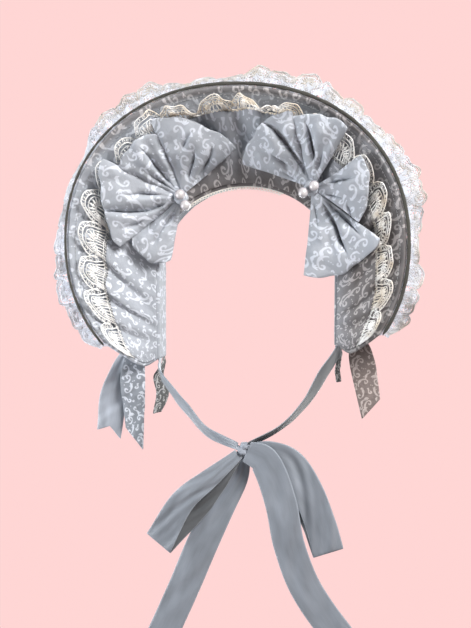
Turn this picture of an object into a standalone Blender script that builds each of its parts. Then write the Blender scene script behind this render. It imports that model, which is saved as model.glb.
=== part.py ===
"""Frilled half bonnet: a stiff horseshoe brim on a head band, with a gathered print frill edged in
scalloped lace, a wide lace ruffle behind the brim, two puffed bows with beads, hanging tails at
both ends and satin ties knotted in a bow under the chin.

Metres, +Z up, the wearer faces -Y. The origin is the middle of the head band's front edge, at the
top of its inner face, where the band sits on the crown of the head.
"""

import math
from collections import namedtuple

import bpy
import numpy as np
from mathutils import Vector

# Opening for the face: half an ellipse on two straight legs, level with the head band's inside
OPENING_HALF_WIDTH = 0.076
ARCH_HEIGHT = 0.066
ARCH_SHARE = 0.59

# Outer edge of the brim: part of a slightly squared ellipse
RIM_HALF_WIDTH = 0.139
RIM_HALF_HEIGHT = 0.127
RIM_CENTRE_X = -0.004
RIM_CENTRE_Z = -0.050
RIM_SQUARING = 0.93

# The piece sits a little askew: the left end, as seen from the front, hangs lower than the right one
Side = namedtuple("Side", "leg_length rim_end_angle")
SIDES = {
    -1: Side(0.081, math.radians(129)),
    1: Side(0.068, math.radians(123)),
}
END_ROUNDING = 0.06
END_ROUNDING_START = 0.85

# The brim leans out of the band's plane and curls towards the front
BRIM_DEPTH_TOP = 0.045
BRIM_DEPTH_END = 0.028
BRIM_CURL = 1.7
BRIM_THICKNESS = 0.0028
BRIM_STEPS_ALONG = 44
BRIM_STEPS_ACROSS = 6
PIPING_RADIUS = 0.0016
PIPING_STAND = 0.0042
PIPING_SET_BACK = 0.0004
GAP = 0.0004

BAND_WIDTH = 0.030
BAND_THICKNESS = 0.0024
BAND_STEPS = 38

# Gathered frill and the lace on its edge share one row of waves
CLOTH = 0.0011
LACE_CLOTH = 0.0010
FRILL_WAVES = 20
STEPS_PER_WAVE = 6
FRILL_END = 0.98
FRILL_REST = 0.0007
FRILL_INNER = 0.03
FRILL_OUTER = 0.60
FRILL_LACE_INNER = 0.614
FRILL_LACE_OUTER = 0.84
FRILL_STEPS_ACROSS = 2
FRILL_WAVE_HEIGHT = 0.0085
SCALLOP_DEPTH = 0.045

BACK_LACE_WAVES = 16
BACK_LACE_INNER = 0.84
BACK_LACE_WAVE_HEIGHT = 0.008
BACK_LACE_SCALLOP = 0.003
BACK_LACE_CLEARANCE = 0.0022
BACK_LACE_SET_BACK = 0.0010
# How far the lace stands out past the rim, from the left end (-1) over the top to the right end (1)
Reach = namedtuple("Reach", "place reach")
BACK_LACE_REACH = [
    Reach(-1.00, 0.004), Reach(-0.90, 0.008), Reach(-0.77, 0.009), Reach(-0.70, 0.004),
    Reach(-0.40, 0.004), Reach(-0.34, 0.012), Reach(-0.18, 0.011), Reach(-0.12, 0.004),
    Reach(-0.02, 0.005), Reach(0.06, 0.011), Reach(0.22, 0.012), Reach(0.30, 0.008),
    Reach(0.45, 0.012), Reach(0.62, 0.014), Reach(0.80, 0.009), Reach(1.00, 0.005),
]

# The picot edging runs further to the left of the middle than to the right
PICOT_LEFT_END = -0.30
PICOT_RIGHT_END = 0.165
PICOT_STEPS = 16
PICOT_DROP = 0.0028
PICOT_THICKNESS = 0.0012

# The bows lie on the crests of the frill's waves
BOW_CLEARANCE = 0.0026
KNOT_RADIUS = 0.007
KNOT_REST_RINGS = (0.35, 0.6, 0.8)
BEAD_RADIUS = 0.0043
BALL_SEGMENTS = 12
BALL_RINGS = 8

# A loop is flat where the knot gathers it, puffed in the middle and thinner again at its fold
LOOP_STEPS_AROUND = 12
LOOP_STEPS_ACROSS = 6
LOOP_WALL = 0.0011
LOOP_START = 0.0067
LOOP_START_LIFT = 0.0036
LOOP_START_HALF_THICKNESS = 0.0024
LOOP_LIFT_END = 0.35
LOOP_FULL_AT = 0.55
LOOP_FOLD_START = 0.7
LOOP_FOLD_THINNING = 0.35
LOOP_CORNER_SET_BACK = 0.10
LOOP_SQUARING = 0.6
PLEAT_HEIGHT = 0.0030

# How much of a tail is sewn on behind the brim
TAIL_SEAM = 0.003

RIBBON_CLOTH = 0.0010
CHIN_KNOT_RADIUS = 0.0070
CHIN_KNOT = Vector((0.0080, -0.0650, -0.2160))
CHIN_GAP = 0.0007
CHIN_LOOP_STEPS = 16

Finish = namedtuple("Finish", "colour roughness")
FINISHES = {
    "print_cloth": Finish((0.42, 0.43, 0.45), 0.85),
    "cotton_lace": Finish((0.86, 0.82, 0.74), 0.90),
    "net_lace": Finish((0.90, 0.89, 0.89), 0.90),
    "satin_ribbon": Finish((0.28, 0.31, 0.33), 0.45),
    "pearl": Finish((0.92, 0.88, 0.88), 0.22),
    "picot": Finish((0.80, 0.74, 0.62), 0.50),
}

BowKnot = namedtuple("BowKnot", "x z")
BOW_KNOTS = {"left": BowKnot(-0.0537, -0.0100), "right": BowKnot(0.0574, -0.0032)}

# Where each bead sits on its knot: how far off the knot's middle, as seen from the front
Bead = namedtuple("Bead", "bow x z")
BEADS = {
    "bead_left_upper": Bead("left", 0.0014, 0.0018),
    "bead_left_lower": Bead("left", 0.0052, -0.0071),
    "bead_right_outer": Bead("right", 0.0034, 0.0012),
    "bead_right_inner": Bead("right", -0.0058, -0.0043),
}

# Each loop fans out from its knot. Angles in degrees from the wearer's left, lengths in metres, and
# start is half its width at the knot
Loop = namedtuple("Loop", "bow angle spread length start puff pleats")
LOOPS = {
    "loop_left_upper_inner": Loop("left", 66, 24, 0.068, 0.0031, 0.015, 2),
    "loop_left_upper_outer": Loop("left", 123, 26, 0.054, 0.0031, 0.013, 2),
    "loop_left_outer": Loop("left", 186, 29, 0.060, 0.0031, 0.013, 2),
    "loop_left_lower": Loop("left", 239, 15, 0.060, 0.0022, 0.009, 1),
    "loop_right_upper_inner": Loop("right", 131, 24, 0.066, 0.0031, 0.015, 2),
    "loop_right_upper_outer": Loop("right", 73, 26, 0.060, 0.0031, 0.014, 2),
    "loop_right_outer": Loop("right", 4, 31, 0.052, 0.0031, 0.012, 2),
    "loop_right_lower": Loop("right", -66, 24, 0.074, 0.0031, 0.014, 2),
}

# The chin bow, and the paths of all ribbons: place, width and how far they turn from facing the front
Row = namedtuple("Row", "x y z width turn")


def from_chin(angle, back, gap=CHIN_GAP):
    """A point just off the chin knot, at an angle seen from the front and set back by some depth."""
    reach = math.sqrt(CHIN_KNOT_RADIUS**2 - back**2) + gap
    turn = math.radians(angle)
    return CHIN_KNOT + Vector((reach * math.cos(turn), back, reach * math.sin(turn)))


def chin_row(angle, back, width, turn):
    """The row of a ribbon that leaves the chin knot."""
    place = from_chin(angle, back)
    return Row(place.x, place.y, place.z, width, turn)


def smooth(value, start, end):
    """0 before start, 1 after end and an even ease between them."""
    share = min(1.0, max(0.0, (value - start) / (end - start)))
    return share * share * (3 - 2 * share)


def opening_edge(t):
    """Point (x, z) of the face opening, t running from -1 at one end over the top to 1."""
    side = 1 if t >= 0 else -1
    t = abs(t)
    if t <= ARCH_SHARE:
        angle = t / ARCH_SHARE * math.pi / 2
        return side * OPENING_HALF_WIDTH * math.sin(angle), ARCH_HEIGHT * (math.cos(angle) - 1)
    down = (t - ARCH_SHARE) / (1 - ARCH_SHARE) * SIDES[side].leg_length
    return side * OPENING_HALF_WIDTH, -ARCH_HEIGHT - down


def rim_edge(t):
    """Point (x, z) of the brim's outer edge that faces the opening's point t."""
    side = 1 if t >= 0 else -1
    angle = abs(t) * SIDES[side].rim_end_angle
    across, up = math.sin(angle), math.cos(angle)
    return (
        RIM_CENTRE_X + side * RIM_HALF_WIDTH * abs(across) ** RIM_SQUARING,
        RIM_CENTRE_Z + RIM_HALF_HEIGHT * math.copysign(abs(up) ** RIM_SQUARING, up),
    )


def rim_outward(t):
    """The direction (x, z) that points straight out from the rim."""
    before, after = Vector(rim_edge(t - 0.01)), Vector(rim_edge(t + 0.01))
    run = (after - before).normalized()
    return Vector((-run.y, run.x))


def brim_depth(t, r):
    """The depth of the brim's face: 0 at the opening and forward, so below 0, towards the rim."""
    depth = BRIM_DEPTH_TOP + (BRIM_DEPTH_END - BRIM_DEPTH_TOP) * min(1.0, abs(t)) ** 3
    return -depth * max(0.0, r) ** BRIM_CURL


def brim_point(t, r, lift=0.0):
    """A point over the brim's face: t along it, r across from the opening to the rim, lift forward."""
    inner, outer = opening_edge(t), rim_edge(t)
    return Vector((
        inner[0] + (outer[0] - inner[0]) * r,
        brim_depth(t, r) - lift,
        inner[1] + (outer[1] - inner[1]) * r,
    ))


def brim_place(x, z):
    """The (t, r) of the brim that lies straight behind the point (x, z)."""
    side = 1 if x >= 0 else -1
    low, high = 0.0, 1.3
    for _ in range(40):
        middle = (low + high) / 2
        inner, outer = opening_edge(side * middle), rim_edge(side * middle)
        across = side * ((outer[0] - inner[0]) * (z - inner[1]) - (outer[1] - inner[1]) * (x - inner[0]))
        if across < 0:
            low = middle
        else:
            high = middle
    inner, outer = opening_edge(side * low), rim_edge(side * low)
    run = (outer[0] - inner[0], outer[1] - inner[1])
    r = ((x - inner[0]) * run[0] + (z - inner[1]) * run[1]) / (run[0] ** 2 + run[1] ** 2)
    return side * low, r


def wave_height(r):
    """The height of the frill's waves, growing from the seam to the lace."""
    return FRILL_WAVE_HEIGHT * smooth(r, -0.10, 0.78)


def frill_lift(t, r):
    """How far the frill and its lace stand in front of the brim."""
    wave = 0.5 - 0.5 * math.cos(2 * math.pi * FRILL_WAVES * t / 2)
    return FRILL_REST + wave_height(r) * wave


def bow_rest(x, z):
    """The depth of the surface over the frill's crests that the bows rest on."""
    t, r = brim_place(x, z)
    return brim_depth(t, r) - FRILL_REST - wave_height(max(r, 0.0)) - BOW_CLEARANCE


def seat_depth(x, z, radius):
    """The depth of a ball's middle where it just rests on the frill's crests."""
    depth = bow_rest(x, z) - radius
    for ring in KNOT_REST_RINGS:
        stand = radius * math.sqrt(1 - ring**2)
        for step in range(8):
            angle = step * math.pi / 4
            place = (x + ring * radius * math.cos(angle), z + ring * radius * math.sin(angle))
            depth = min(depth, bow_rest(*place) - stand)
    return depth


def behind_brim(x, z, width):
    """The top row of a tail sewn behind the brim, lying along the slope of its back."""
    places = [(along * width / 2, drop) for along in (-1, 0, 1) for drop in (0, -TAIL_SEAM)]
    depths = {place: brim_depth(*brim_place(x + place[0], z + place[1])) for place in places}
    slope = (depths[places[-2]] - depths[places[0]]) / width
    depth = max(depths[place] - slope * place[0] for place in places)
    clear = (BRIM_THICKNESS + RIBBON_CLOTH / 2 + GAP) * math.hypot(1, slope)
    return Row(x, depth + clear, z, width, math.degrees(math.atan(slope)))


def behind_tail(row, shift, width):
    """The top row of a tail sewn on right behind another one, shifted sideways along it."""
    slope = math.tan(math.radians(row.turn))
    clear = (RIBBON_CLOTH + GAP) * math.hypot(1, slope)
    return Row(row.x + shift, row.y + shift * slope + clear, row.z, width, row.turn)


def give_finish(thing, name):
    """Gives an object its finish as a Principled material, one for each finish."""
    material = bpy.data.materials.get(name)
    if material is None:
        material = bpy.data.materials.new(name)
        material.use_nodes = True
        shader = material.node_tree.nodes["Principled BSDF"]
        finish = FINISHES[name]
        shader.inputs["Base Color"].default_value = (*finish.colour, 1)
        shader.inputs["Roughness"].default_value = finish.roughness
    thing.data.materials.append(material)


def add_mesh(name, points, faces, finish):
    """A smooth-shaded mesh object."""
    mesh = bpy.data.meshes.new(name)
    mesh.from_pydata(points, [], faces)
    mesh.update()
    mesh.shade_smooth()
    thing = bpy.data.objects.new(name, mesh)
    bpy.context.scene.collection.objects.link(thing)
    give_finish(thing, finish)
    return thing


def cloth(name, grid, thickness, finish, offset, closed=False):
    """Cloth over a grid of points, given its wall by a Solidify modifier. A closed grid is a ring."""
    wide = len(grid[0])
    points = [point for row in grid for point in row]
    faces = []
    for i in range(len(grid) if closed else len(grid) - 1):
        near, far = i * wide, (i + 1) % len(grid) * wide
        faces += [(near + j, far + j, far + j + 1, near + j + 1) for j in range(wide - 1)]
    thing = add_mesh(name, points, faces, finish)
    wall = thing.modifiers.new("wall", "SOLIDIFY")
    wall.thickness = thickness
    wall.offset = offset
    return thing


def spaced(start, end, steps):
    """Evenly spaced values from start to end."""
    return [start + (end - start) * i / steps for i in range(steps + 1)]


def between(rows, place):
    """A smooth curve through a table's rows: every column's value at a share of the curve's length."""
    places = [Vector((row.x, getattr(row, "y", 0), row.z)) for row in rows]
    marks = [0.0]
    for before, after in zip(places, places[1:]):
        marks.append(marks[-1] + (after - before).length)
    at = place * marks[-1]
    i = max(k for k in range(len(rows) - 1) if k == 0 or marks[k] <= at)
    table = np.array(rows)

    def slope(k):
        before, after = max(0, k - 1), min(len(rows) - 1, k + 1)
        return (table[after] - table[before]) / (marks[after] - marks[before])

    run = marks[i + 1] - marks[i]
    f = (at - marks[i]) / run
    rise = f * f * (3 - 2 * f)
    bend = run * f * (1 - f) * ((1 - f) * slope(i) - f * slope(i + 1))
    return type(rows[0])(*(table[i] * (1 - rise) + table[i + 1] * rise + bend))


def build_brim():
    """The stiff horseshoe, one wall with its face towards the front."""
    grid = []
    for t in spaced(-1, 1, BRIM_STEPS_ALONG):
        rounding = END_ROUNDING * smooth(abs(t), END_ROUNDING_START, 1)
        across = spaced(0, 1, BRIM_STEPS_ACROSS)
        grid.append([brim_point(t * (1 + rounding * math.sin(math.pi * r)), r) for r in across])
    return cloth("brim", grid, BRIM_THICKNESS, "print_cloth", -1)


def build_piping():
    """A thin covered cord along the brim's outer edge."""
    curve = bpy.data.curves.new("piping", "CURVE")
    curve.dimensions = "3D"
    curve.bevel_depth = PIPING_RADIUS
    curve.bevel_resolution = 1
    curve.use_fill_caps = True
    places = spaced(-1, 1, BRIM_STEPS_ALONG)
    spline = curve.splines.new("POLY")
    spline.points.add(len(places) - 1)
    for point, t in zip(spline.points, places):
        x, z = Vector(rim_edge(t)) + rim_outward(t) * PIPING_STAND
        point.co = (x, brim_depth(t, 1) + PIPING_SET_BACK, z, 1)
    piping = bpy.data.objects.new("piping", curve)
    bpy.context.scene.collection.objects.link(piping)
    give_finish(piping, "print_cloth")
    return piping


def build_head_band():
    """The band over the head from ear to ear, behind the brim's inner edge."""
    front = BRIM_THICKNESS + GAP
    grid = []
    for t in spaced(-1, 1, BAND_STEPS):
        x, z = opening_edge(t)
        grid.append([Vector((x, front, z)), Vector((x, front + BAND_WIDTH, z))])
    return cloth("head_band", grid, BAND_THICKNESS, "print_cloth", 1)


def build_picots():
    """The narrow picot edging that hangs inside the top of the opening."""
    grid = []
    for t in spaced(PICOT_LEFT_END, PICOT_RIGHT_END, PICOT_STEPS):
        x, z = opening_edge(t)
        inward = Vector((-x, 0, -ARCH_HEIGHT - z)).normalized()
        start = Vector((x, BRIM_THICKNESS / 2, z)) + inward * GAP
        grid.append([start + inward * PICOT_DROP, start])
    return cloth("picot_edging", grid, PICOT_THICKNESS, "picot", 0)


def build_frill():
    """The gathered print frill: waves that grow from its seam at the opening to its lace."""
    along = spaced(-FRILL_END, FRILL_END, FRILL_WAVES * STEPS_PER_WAVE)
    across = spaced(FRILL_INNER, FRILL_OUTER, FRILL_STEPS_ACROSS)
    grid = [[brim_point(t, r, frill_lift(t, r)) for r in across] for t in along]
    return cloth("frill", grid, CLOTH, "print_cloth", 1)


def build_frill_lace():
    """Scalloped lace that carries the frill's waves on past its edge."""
    grid = []
    for t in spaced(-FRILL_END, FRILL_END, FRILL_WAVES * STEPS_PER_WAVE):
        scallop = SCALLOP_DEPTH * abs(math.sin(math.pi * FRILL_WAVES * t / 2 + math.pi / 4))
        edge = FRILL_LACE_OUTER - SCALLOP_DEPTH + scallop
        across = spaced(FRILL_LACE_INNER, edge, FRILL_STEPS_ACROSS)
        grid.append([brim_point(t, r, frill_lift(t, r)) for r in across])
    return cloth("frill_lace", grid, LACE_CLOTH, "cotton_lace", 1)


def back_lace_point(t, place):
    """A point of the back lace: place 0 is its seam behind the brim, 1 the rim and 2 its free edge."""
    wave = 0.5 - 0.5 * math.cos(math.pi * BACK_LACE_WAVES * t)
    if place < 2:
        r = BACK_LACE_INNER + (1 - BACK_LACE_INNER) * place
        lean = brim_point(t, r + 0.01) - brim_point(t, r - 0.01)
        along = brim_point(t + 0.01, r) - brim_point(t - 0.01, r)
        normal = along.cross(lean).normalized()
        clear = BRIM_THICKNESS + GAP + BACK_LACE_CLEARANCE * place
        return brim_point(t, r) - normal * clear
    seam = back_lace_point(t, 1)
    reach = np.interp(t, *zip(*BACK_LACE_REACH)) + BACK_LACE_SCALLOP * wave
    out = rim_outward(t) * reach
    return seam + Vector((out.x, BACK_LACE_SET_BACK + BACK_LACE_WAVE_HEIGHT * wave, out.y))


def build_back_lace():
    """The wide lace ruffle sewn behind the rim, standing out past it in loose waves."""
    grid = []
    for t in spaced(-1, 1, BACK_LACE_WAVES * STEPS_PER_WAVE):
        grid.append([back_lace_point(t, place) for place in (0, 1, 2)])
    return cloth("back_lace", grid, LACE_CLOTH, "net_lace", -1)


def add_ball(name, centre, radius, finish):
    """A round piece: a knot or a bead."""
    bpy.ops.mesh.primitive_uv_sphere_add(
        segments=BALL_SEGMENTS, ring_count=BALL_RINGS, radius=radius, location=centre
    )
    ball = bpy.context.object
    ball.name = name
    ball.data.shade_smooth()
    give_finish(ball, finish)
    return ball


def knot_centre(bow):
    """The middle of a bow's knot, which rests on the frill's crests."""
    knot = BOW_KNOTS[bow]
    return Vector((knot.x, seat_depth(knot.x, knot.z, KNOT_RADIUS), knot.z))


def build_bow_loop(name):
    """One puffed loop: cloth folded over on itself, gathered at the knot and open at both sides."""
    loop = LOOPS[name]
    knot = BOW_KNOTS[loop.bow]
    turn = math.radians(loop.angle)
    along, across = (math.cos(turn), math.sin(turn)), (-math.sin(turn), math.cos(turn))
    fan = math.tan(math.radians(loop.spread))
    grid = []
    for step in range(LOOP_STEPS_AROUND):
        angle = 2 * math.pi * (step + 0.5) / LOOP_STEPS_AROUND
        share = 0.5 - 0.5 * math.cos(angle)
        side = math.copysign(abs(math.sin(angle)) ** LOOP_SQUARING, math.sin(angle))
        u = LOOP_START + (loop.length - LOOP_START) * share
        half_width = loop.start + (u - LOOP_START) * fan
        puff = (loop.puff / 2 - LOOP_START_HALF_THICKNESS) * smooth(share, 0, LOOP_FULL_AT)
        puff *= 1 - LOOP_FOLD_THINNING * smooth(share, LOOP_FOLD_START, 1)
        half = LOOP_START_HALF_THICKNESS + puff
        lift = LOOP_START_LIFT * (1 - smooth(share, 0, LOOP_LIFT_END))
        row = []
        for v in spaced(-1, 1, LOOP_STEPS_ACROSS):
            w = v * half_width
            bulge = 1 - LOOP_CORNER_SET_BACK * v * v
            x = knot.x + along[0] * u * bulge + across[0] * w
            z = knot.z + along[1] * u * bulge + across[1] * w
            pleat = 0.5 + 0.5 * math.cos(math.pi * loop.pleats * v)
            height = lift + half * (1 + side) + PLEAT_HEIGHT * share * pleat * max(0, side)
            row.append(Vector((x, bow_rest(x, z) - height, z)))
        grid.append(row)
    return cloth(name, grid, LOOP_WALL, "print_cloth", -1, closed=True)


def build_bead(name):
    """One bead, seated on the front of its knot."""
    bead = BEADS[name]
    reach = KNOT_RADIUS + BEAD_RADIUS + GAP
    forward = math.sqrt(reach**2 - bead.x**2 - bead.z**2)
    centre = knot_centre(bead.bow) + Vector((bead.x, -forward, bead.z))
    return add_ball(name, centre, BEAD_RADIUS, "pearl")


def build_strip(name, finish, rows, cut=(0, 0, 0), steps=10, level_start=True):
    """A hanging tail or a tie: a flat strip of cloth along its rows, with its end cut to a slant.

    The cut says how far the right edge, the middle and the left edge run on past the last row. A
    level start is the seam of a strip that hangs from the brim or the band.
    """
    rows = [between(rows, share) for share in spaced(0, 1, steps)]
    grid = []
    for i, row in enumerate(rows):
        before, after = rows[max(0, i - 1)], rows[min(len(rows) - 1, i + 1)]
        tangent = Vector((after.x - before.x, after.y - before.y, after.z - before.z)).normalized()
        if i == 0 and level_start:
            tangent = Vector((0, 0, -1))
        flat = tangent.cross(Vector((0, 1, 0))).normalized()
        edge_on = flat.cross(tangent)
        turn = math.radians(row.turn)
        width = flat * math.cos(turn) + edge_on * math.sin(turn)
        centre = Vector((row.x, row.y, row.z))
        last = i == len(rows) - 1
        grid.append([
            centre + width * row.width * place + tangent * (more if last else 0)
            for place, more in zip((0.5, 0, -0.5), cut)
        ])
    return cloth(name, grid, RIBBON_CLOTH, finish, 0)


def build_ties():
    """The two satin ribbons that run from the ends of the head band to the knot under the chin."""
    ends = {side: -ARCH_HEIGHT - SIDES[side].leg_length - GAP * 1.5 for side in (-1, 1)}
    wall = OPENING_HALF_WIDTH + BAND_THICKNESS / 2
    build_strip("tie_left", "satin_ribbon", [
        Row(-wall, 0.0140, ends[-1], 0.020, -87),
        Row(-wall, 0.0125, ends[-1] - 0.0060, 0.022, -80),
        Row(-0.0745, 0.0050, -0.1620, 0.025, -70),
        Row(-0.0625, -0.0080, -0.1746, 0.025, -64),
        Row(-0.0472, -0.0200, -0.1886, 0.025, -62),
        Row(-0.0257, -0.0400, -0.2055, 0.022, -60),
        chin_row(168, 0.0035, 0.009, -45),
    ], steps=14)
    build_strip("tie_right", "satin_ribbon", [
        Row(wall, 0.0140, ends[1], 0.020, 87),
        Row(wall, 0.0120, ends[1] - 0.0060, 0.022, 80),
        Row(0.0662, -0.0120, -0.1600, 0.025, 84),
        Row(0.0530, -0.0300, -0.1820, 0.024, 92),
        Row(0.0356, -0.0500, -0.2000, 0.020, 88),
        chin_row(42, 0.0045, 0.008, 66),
    ], steps=14)


def build_hanging_tails():
    """The loose tails at the ends of the brim: two behind it at the left, one at the right and one
    at each end of the head band."""
    wall = OPENING_HALF_WIDTH + BAND_THICKNESS / 2
    print_top = behind_brim(-0.0960, -0.1420, 0.015)
    build_strip("tail_print_left", "print_cloth", [
        print_top,
        Row(-0.0985, 0.0000, -0.1640, 0.021, 6),
        Row(-0.0985, 0.0040, -0.1880, 0.019, -6),
        Row(-0.0985, 0.0050, -0.2080, 0.015, 4),
    ], (0.019, 0.009, 0))
    build_strip("tail_satin_left", "satin_ribbon", [
        behind_tail(print_top, -0.0050, 0.012),
        Row(-0.1100, 0.0065, -0.1580, 0.017, 16),
        Row(-0.1175, 0.0080, -0.1820, 0.023, 8),
        Row(-0.1215, 0.0100, -0.2100, 0.021, 4),
    ], (0.007, -0.003, 0.002))
    build_strip("tail_inner_left", "print_cloth", [
        Row(-wall, 0.0290, -ARCH_HEIGHT - SIDES[-1].leg_length - GAP, 0.006, 88),
        Row(-wall, 0.0292, -ARCH_HEIGHT - SIDES[-1].leg_length - 0.006, 0.007, 80),
        Row(-0.0820, 0.0310, -0.1650, 0.010, 40),
        Row(-0.0790, 0.0330, -0.1790, 0.011, 20),
        Row(-0.0835, 0.0330, -0.1960, 0.007, 30),
    ], (0, 0.001, 0.003), steps=8)
    build_strip("tail_print_right", "print_cloth", [
        behind_brim(0.0930, -0.1240, 0.014),
        Row(0.0980, 0.0010, -0.1460, 0.021, -8),
        Row(0.1015, 0.0050, -0.1660, 0.020, 6),
        Row(0.1045, 0.0060, -0.1820, 0.018, -4),
    ], (0, 0.007, 0.014))
    build_strip("tail_inner_right", "print_cloth", [
        Row(wall, 0.0290, -ARCH_HEIGHT - SIDES[1].leg_length - GAP, 0.006, 88),
        Row(wall, 0.0292, -ARCH_HEIGHT - SIDES[1].leg_length - 0.006, 0.008, 74),
        Row(0.0755, 0.0310, -0.1580, 0.007, 60),
        Row(0.0765, 0.0310, -0.1680, 0.005, 60),
    ], steps=8)


def build_chin_tails():
    """The two long ribbon ends that hang from the chin knot."""
    build_strip("chin_tail_left", "satin_ribbon", [
        chin_row(-100, 0.0045, 0.008, 0),
        Row(0.0030, -0.0590, -0.2400, 0.015, 4),
        Row(-0.0105, -0.0590, -0.2620, 0.022, -4),
        Row(-0.0265, -0.0600, -0.2940, 0.025, 6),
        Row(-0.0420, -0.0580, -0.3300, 0.025, 2),
        Row(-0.0640, -0.0560, -0.3780, 0.025, 0),
    ], (0.011, 0.0055, 0), steps=14, level_start=False)
    build_strip("chin_tail_right", "satin_ribbon", [
        chin_row(-26, -0.0046, 0.008, 0),
        Row(0.0270, -0.0705, -0.2270, 0.020, -4),
        Row(0.0385, -0.0710, -0.2560, 0.025, 4),
        Row(0.0455, -0.0690, -0.2920, 0.025, -4),
        Row(0.0600, -0.0660, -0.3300, 0.025, 2),
        Row(0.0910, -0.0620, -0.3740, 0.025, 0),
    ], (0, 0.0055, 0.011), steps=14, level_start=False)


# The path of a chin loop's middle line, and how far its two layers stand apart and slip sideways
ChinRow = namedtuple("ChinRow", "x z half_width front back slip")


def build_chin_loop(name, origin, rows):
    """One loop of the chin bow: ribbon led out, folded over and led back behind itself."""
    grid = []
    for step in range(CHIN_LOOP_STEPS):
        around = 2 * math.pi * (step + 0.5) / CHIN_LOOP_STEPS
        share = 0.5 - 0.5 * math.cos(around)
        side = math.copysign(abs(math.sin(around)) ** LOOP_SQUARING, math.sin(around))
        row = between(rows, share)
        ahead, behind = between(rows, min(1, share + 0.01)), between(rows, max(0, share - 0.01))
        tangent = Vector((ahead.x - behind.x, 0, ahead.z - behind.z)).normalized()
        across = Vector((-tangent.z, 0, tangent.x))
        depth = -row.front * side if side > 0 else -row.back * side
        centre = origin + Vector((row.x, depth, row.z)) + across * row.slip * side
        grid.append([centre + across * row.half_width * v for v in (-1, 0, 1)])
    return cloth(name, grid, RIBBON_CLOTH, "satin_ribbon", -1, closed=True)


def build_chin_loops():
    """The two loops of the chin bow: the left one lies in front of its tail, the right one behind."""
    build_chin_loop("chin_loop_left", from_chin(-136, -0.0030, 0), [
        ChinRow(0.0, 0.0, 0.0036, 0.0016, 0.0016, 0.0),
        ChinRow(-0.0200, -0.0215, 0.0085, 0.0060, 0.0016, 0.0030),
        ChinRow(-0.0400, -0.0420, 0.0110, 0.0090, 0.0020, 0.0040),
        ChinRow(-0.0650, -0.0735, 0.0123, 0.0050, 0.0022, 0.0010),
    ])
    build_chin_loop("chin_loop_right", from_chin(2, 0.0014, -0.0003), [
        ChinRow(0.0, 0.0, 0.0036, 0.0014, 0.0016, 0.0),
        ChinRow(0.0140, -0.0030, 0.0080, 0.0014, 0.0050, 0.0010),
        ChinRow(0.0300, -0.0130, 0.0120, 0.0016, 0.0080, 0.0020),
        ChinRow(0.0440, -0.0370, 0.0125, 0.0020, 0.0090, 0.0030),
        ChinRow(0.0545, -0.0610, 0.0125, 0.0022, 0.0080, 0.0020),
        ChinRow(0.0620, -0.0830, 0.0125, 0.0020, 0.0050, 0.0010),
    ])


def main():
    for thing in list(bpy.data.objects):
        bpy.data.objects.remove(thing)
    build_brim()
    build_piping()
    build_head_band()
    build_picots()
    build_frill()
    build_frill_lace()
    build_back_lace()
    for bow in BOW_KNOTS:
        add_ball(f"knot_{bow}", knot_centre(bow), KNOT_RADIUS, "print_cloth")
    for name in BEADS:
        build_bead(name)
    for name in LOOPS:
        build_bow_loop(name)
    build_hanging_tails()
    build_ties()
    add_ball("chin_knot", CHIN_KNOT, CHIN_KNOT_RADIUS, "satin_ribbon")
    build_chin_loops()
    build_chin_tails()


main()
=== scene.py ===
"""Frilled half bonnet: the looks of every piece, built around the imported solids.

Metres, +Z up, the wearer faces -Y. The origin is the middle of the head band's front edge, at the
top of its inner face. Each piece stands in the place of the solids that it replaces.
"""

import logging
import math
from dataclasses import dataclass
from enum import Enum
from typing import Callable, Iterator, NamedTuple, Sequence

import bpy
import numpy as np
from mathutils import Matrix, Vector


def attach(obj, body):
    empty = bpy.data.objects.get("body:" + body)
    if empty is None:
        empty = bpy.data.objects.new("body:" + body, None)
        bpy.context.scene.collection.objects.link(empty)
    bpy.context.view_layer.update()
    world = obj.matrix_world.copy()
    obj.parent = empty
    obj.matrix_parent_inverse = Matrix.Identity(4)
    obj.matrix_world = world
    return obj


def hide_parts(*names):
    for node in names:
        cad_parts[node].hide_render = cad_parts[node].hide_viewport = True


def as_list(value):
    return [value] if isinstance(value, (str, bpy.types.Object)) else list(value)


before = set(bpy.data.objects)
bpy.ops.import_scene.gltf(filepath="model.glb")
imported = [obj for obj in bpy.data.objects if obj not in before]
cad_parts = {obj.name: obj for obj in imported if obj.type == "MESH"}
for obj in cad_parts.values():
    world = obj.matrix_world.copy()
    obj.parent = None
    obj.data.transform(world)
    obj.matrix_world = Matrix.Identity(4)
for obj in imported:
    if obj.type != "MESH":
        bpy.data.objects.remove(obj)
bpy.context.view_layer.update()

LOG = logging.getLogger("half_bonnet")
BODY = "root"
TURN = 2 * math.pi
MM = 0.001
FORWARD = np.array([0.0, -1.0, 0.0])
LEAST_CUT = 0.0101  # no sheet under 10 mm wide can be declared, so a narrower strip is given this width


class Slot(Enum):
    """The record's material slots."""

    PRINT = "print_cloth"
    COTTON_LACE = "cotton_lace"
    NET_LACE = "net_lace"
    PICOT = "picot"
    SATIN = "satin_ribbon"
    PEARL = "pearl"


class Held(Enum):
    """How a sheet of cloth is held."""

    HUNG = "hung"
    GATHERED = "gathered"
    FOLDED = "folded"
    STRETCHED = "stretched"


# Numbers


def ease(value: np.ndarray, start: float, end: float) -> np.ndarray:
    """0 before start, 1 after end and an even ease between them."""
    share = np.clip((np.asarray(value, float) - start) / (end - start), 0, 1)
    return share * share * (3 - 2 * share)


def unit(vectors: np.ndarray) -> np.ndarray:
    """The vectors with length 1."""
    return vectors / np.maximum(np.linalg.norm(vectors, axis=-1, keepdims=True), 1e-12)


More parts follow.
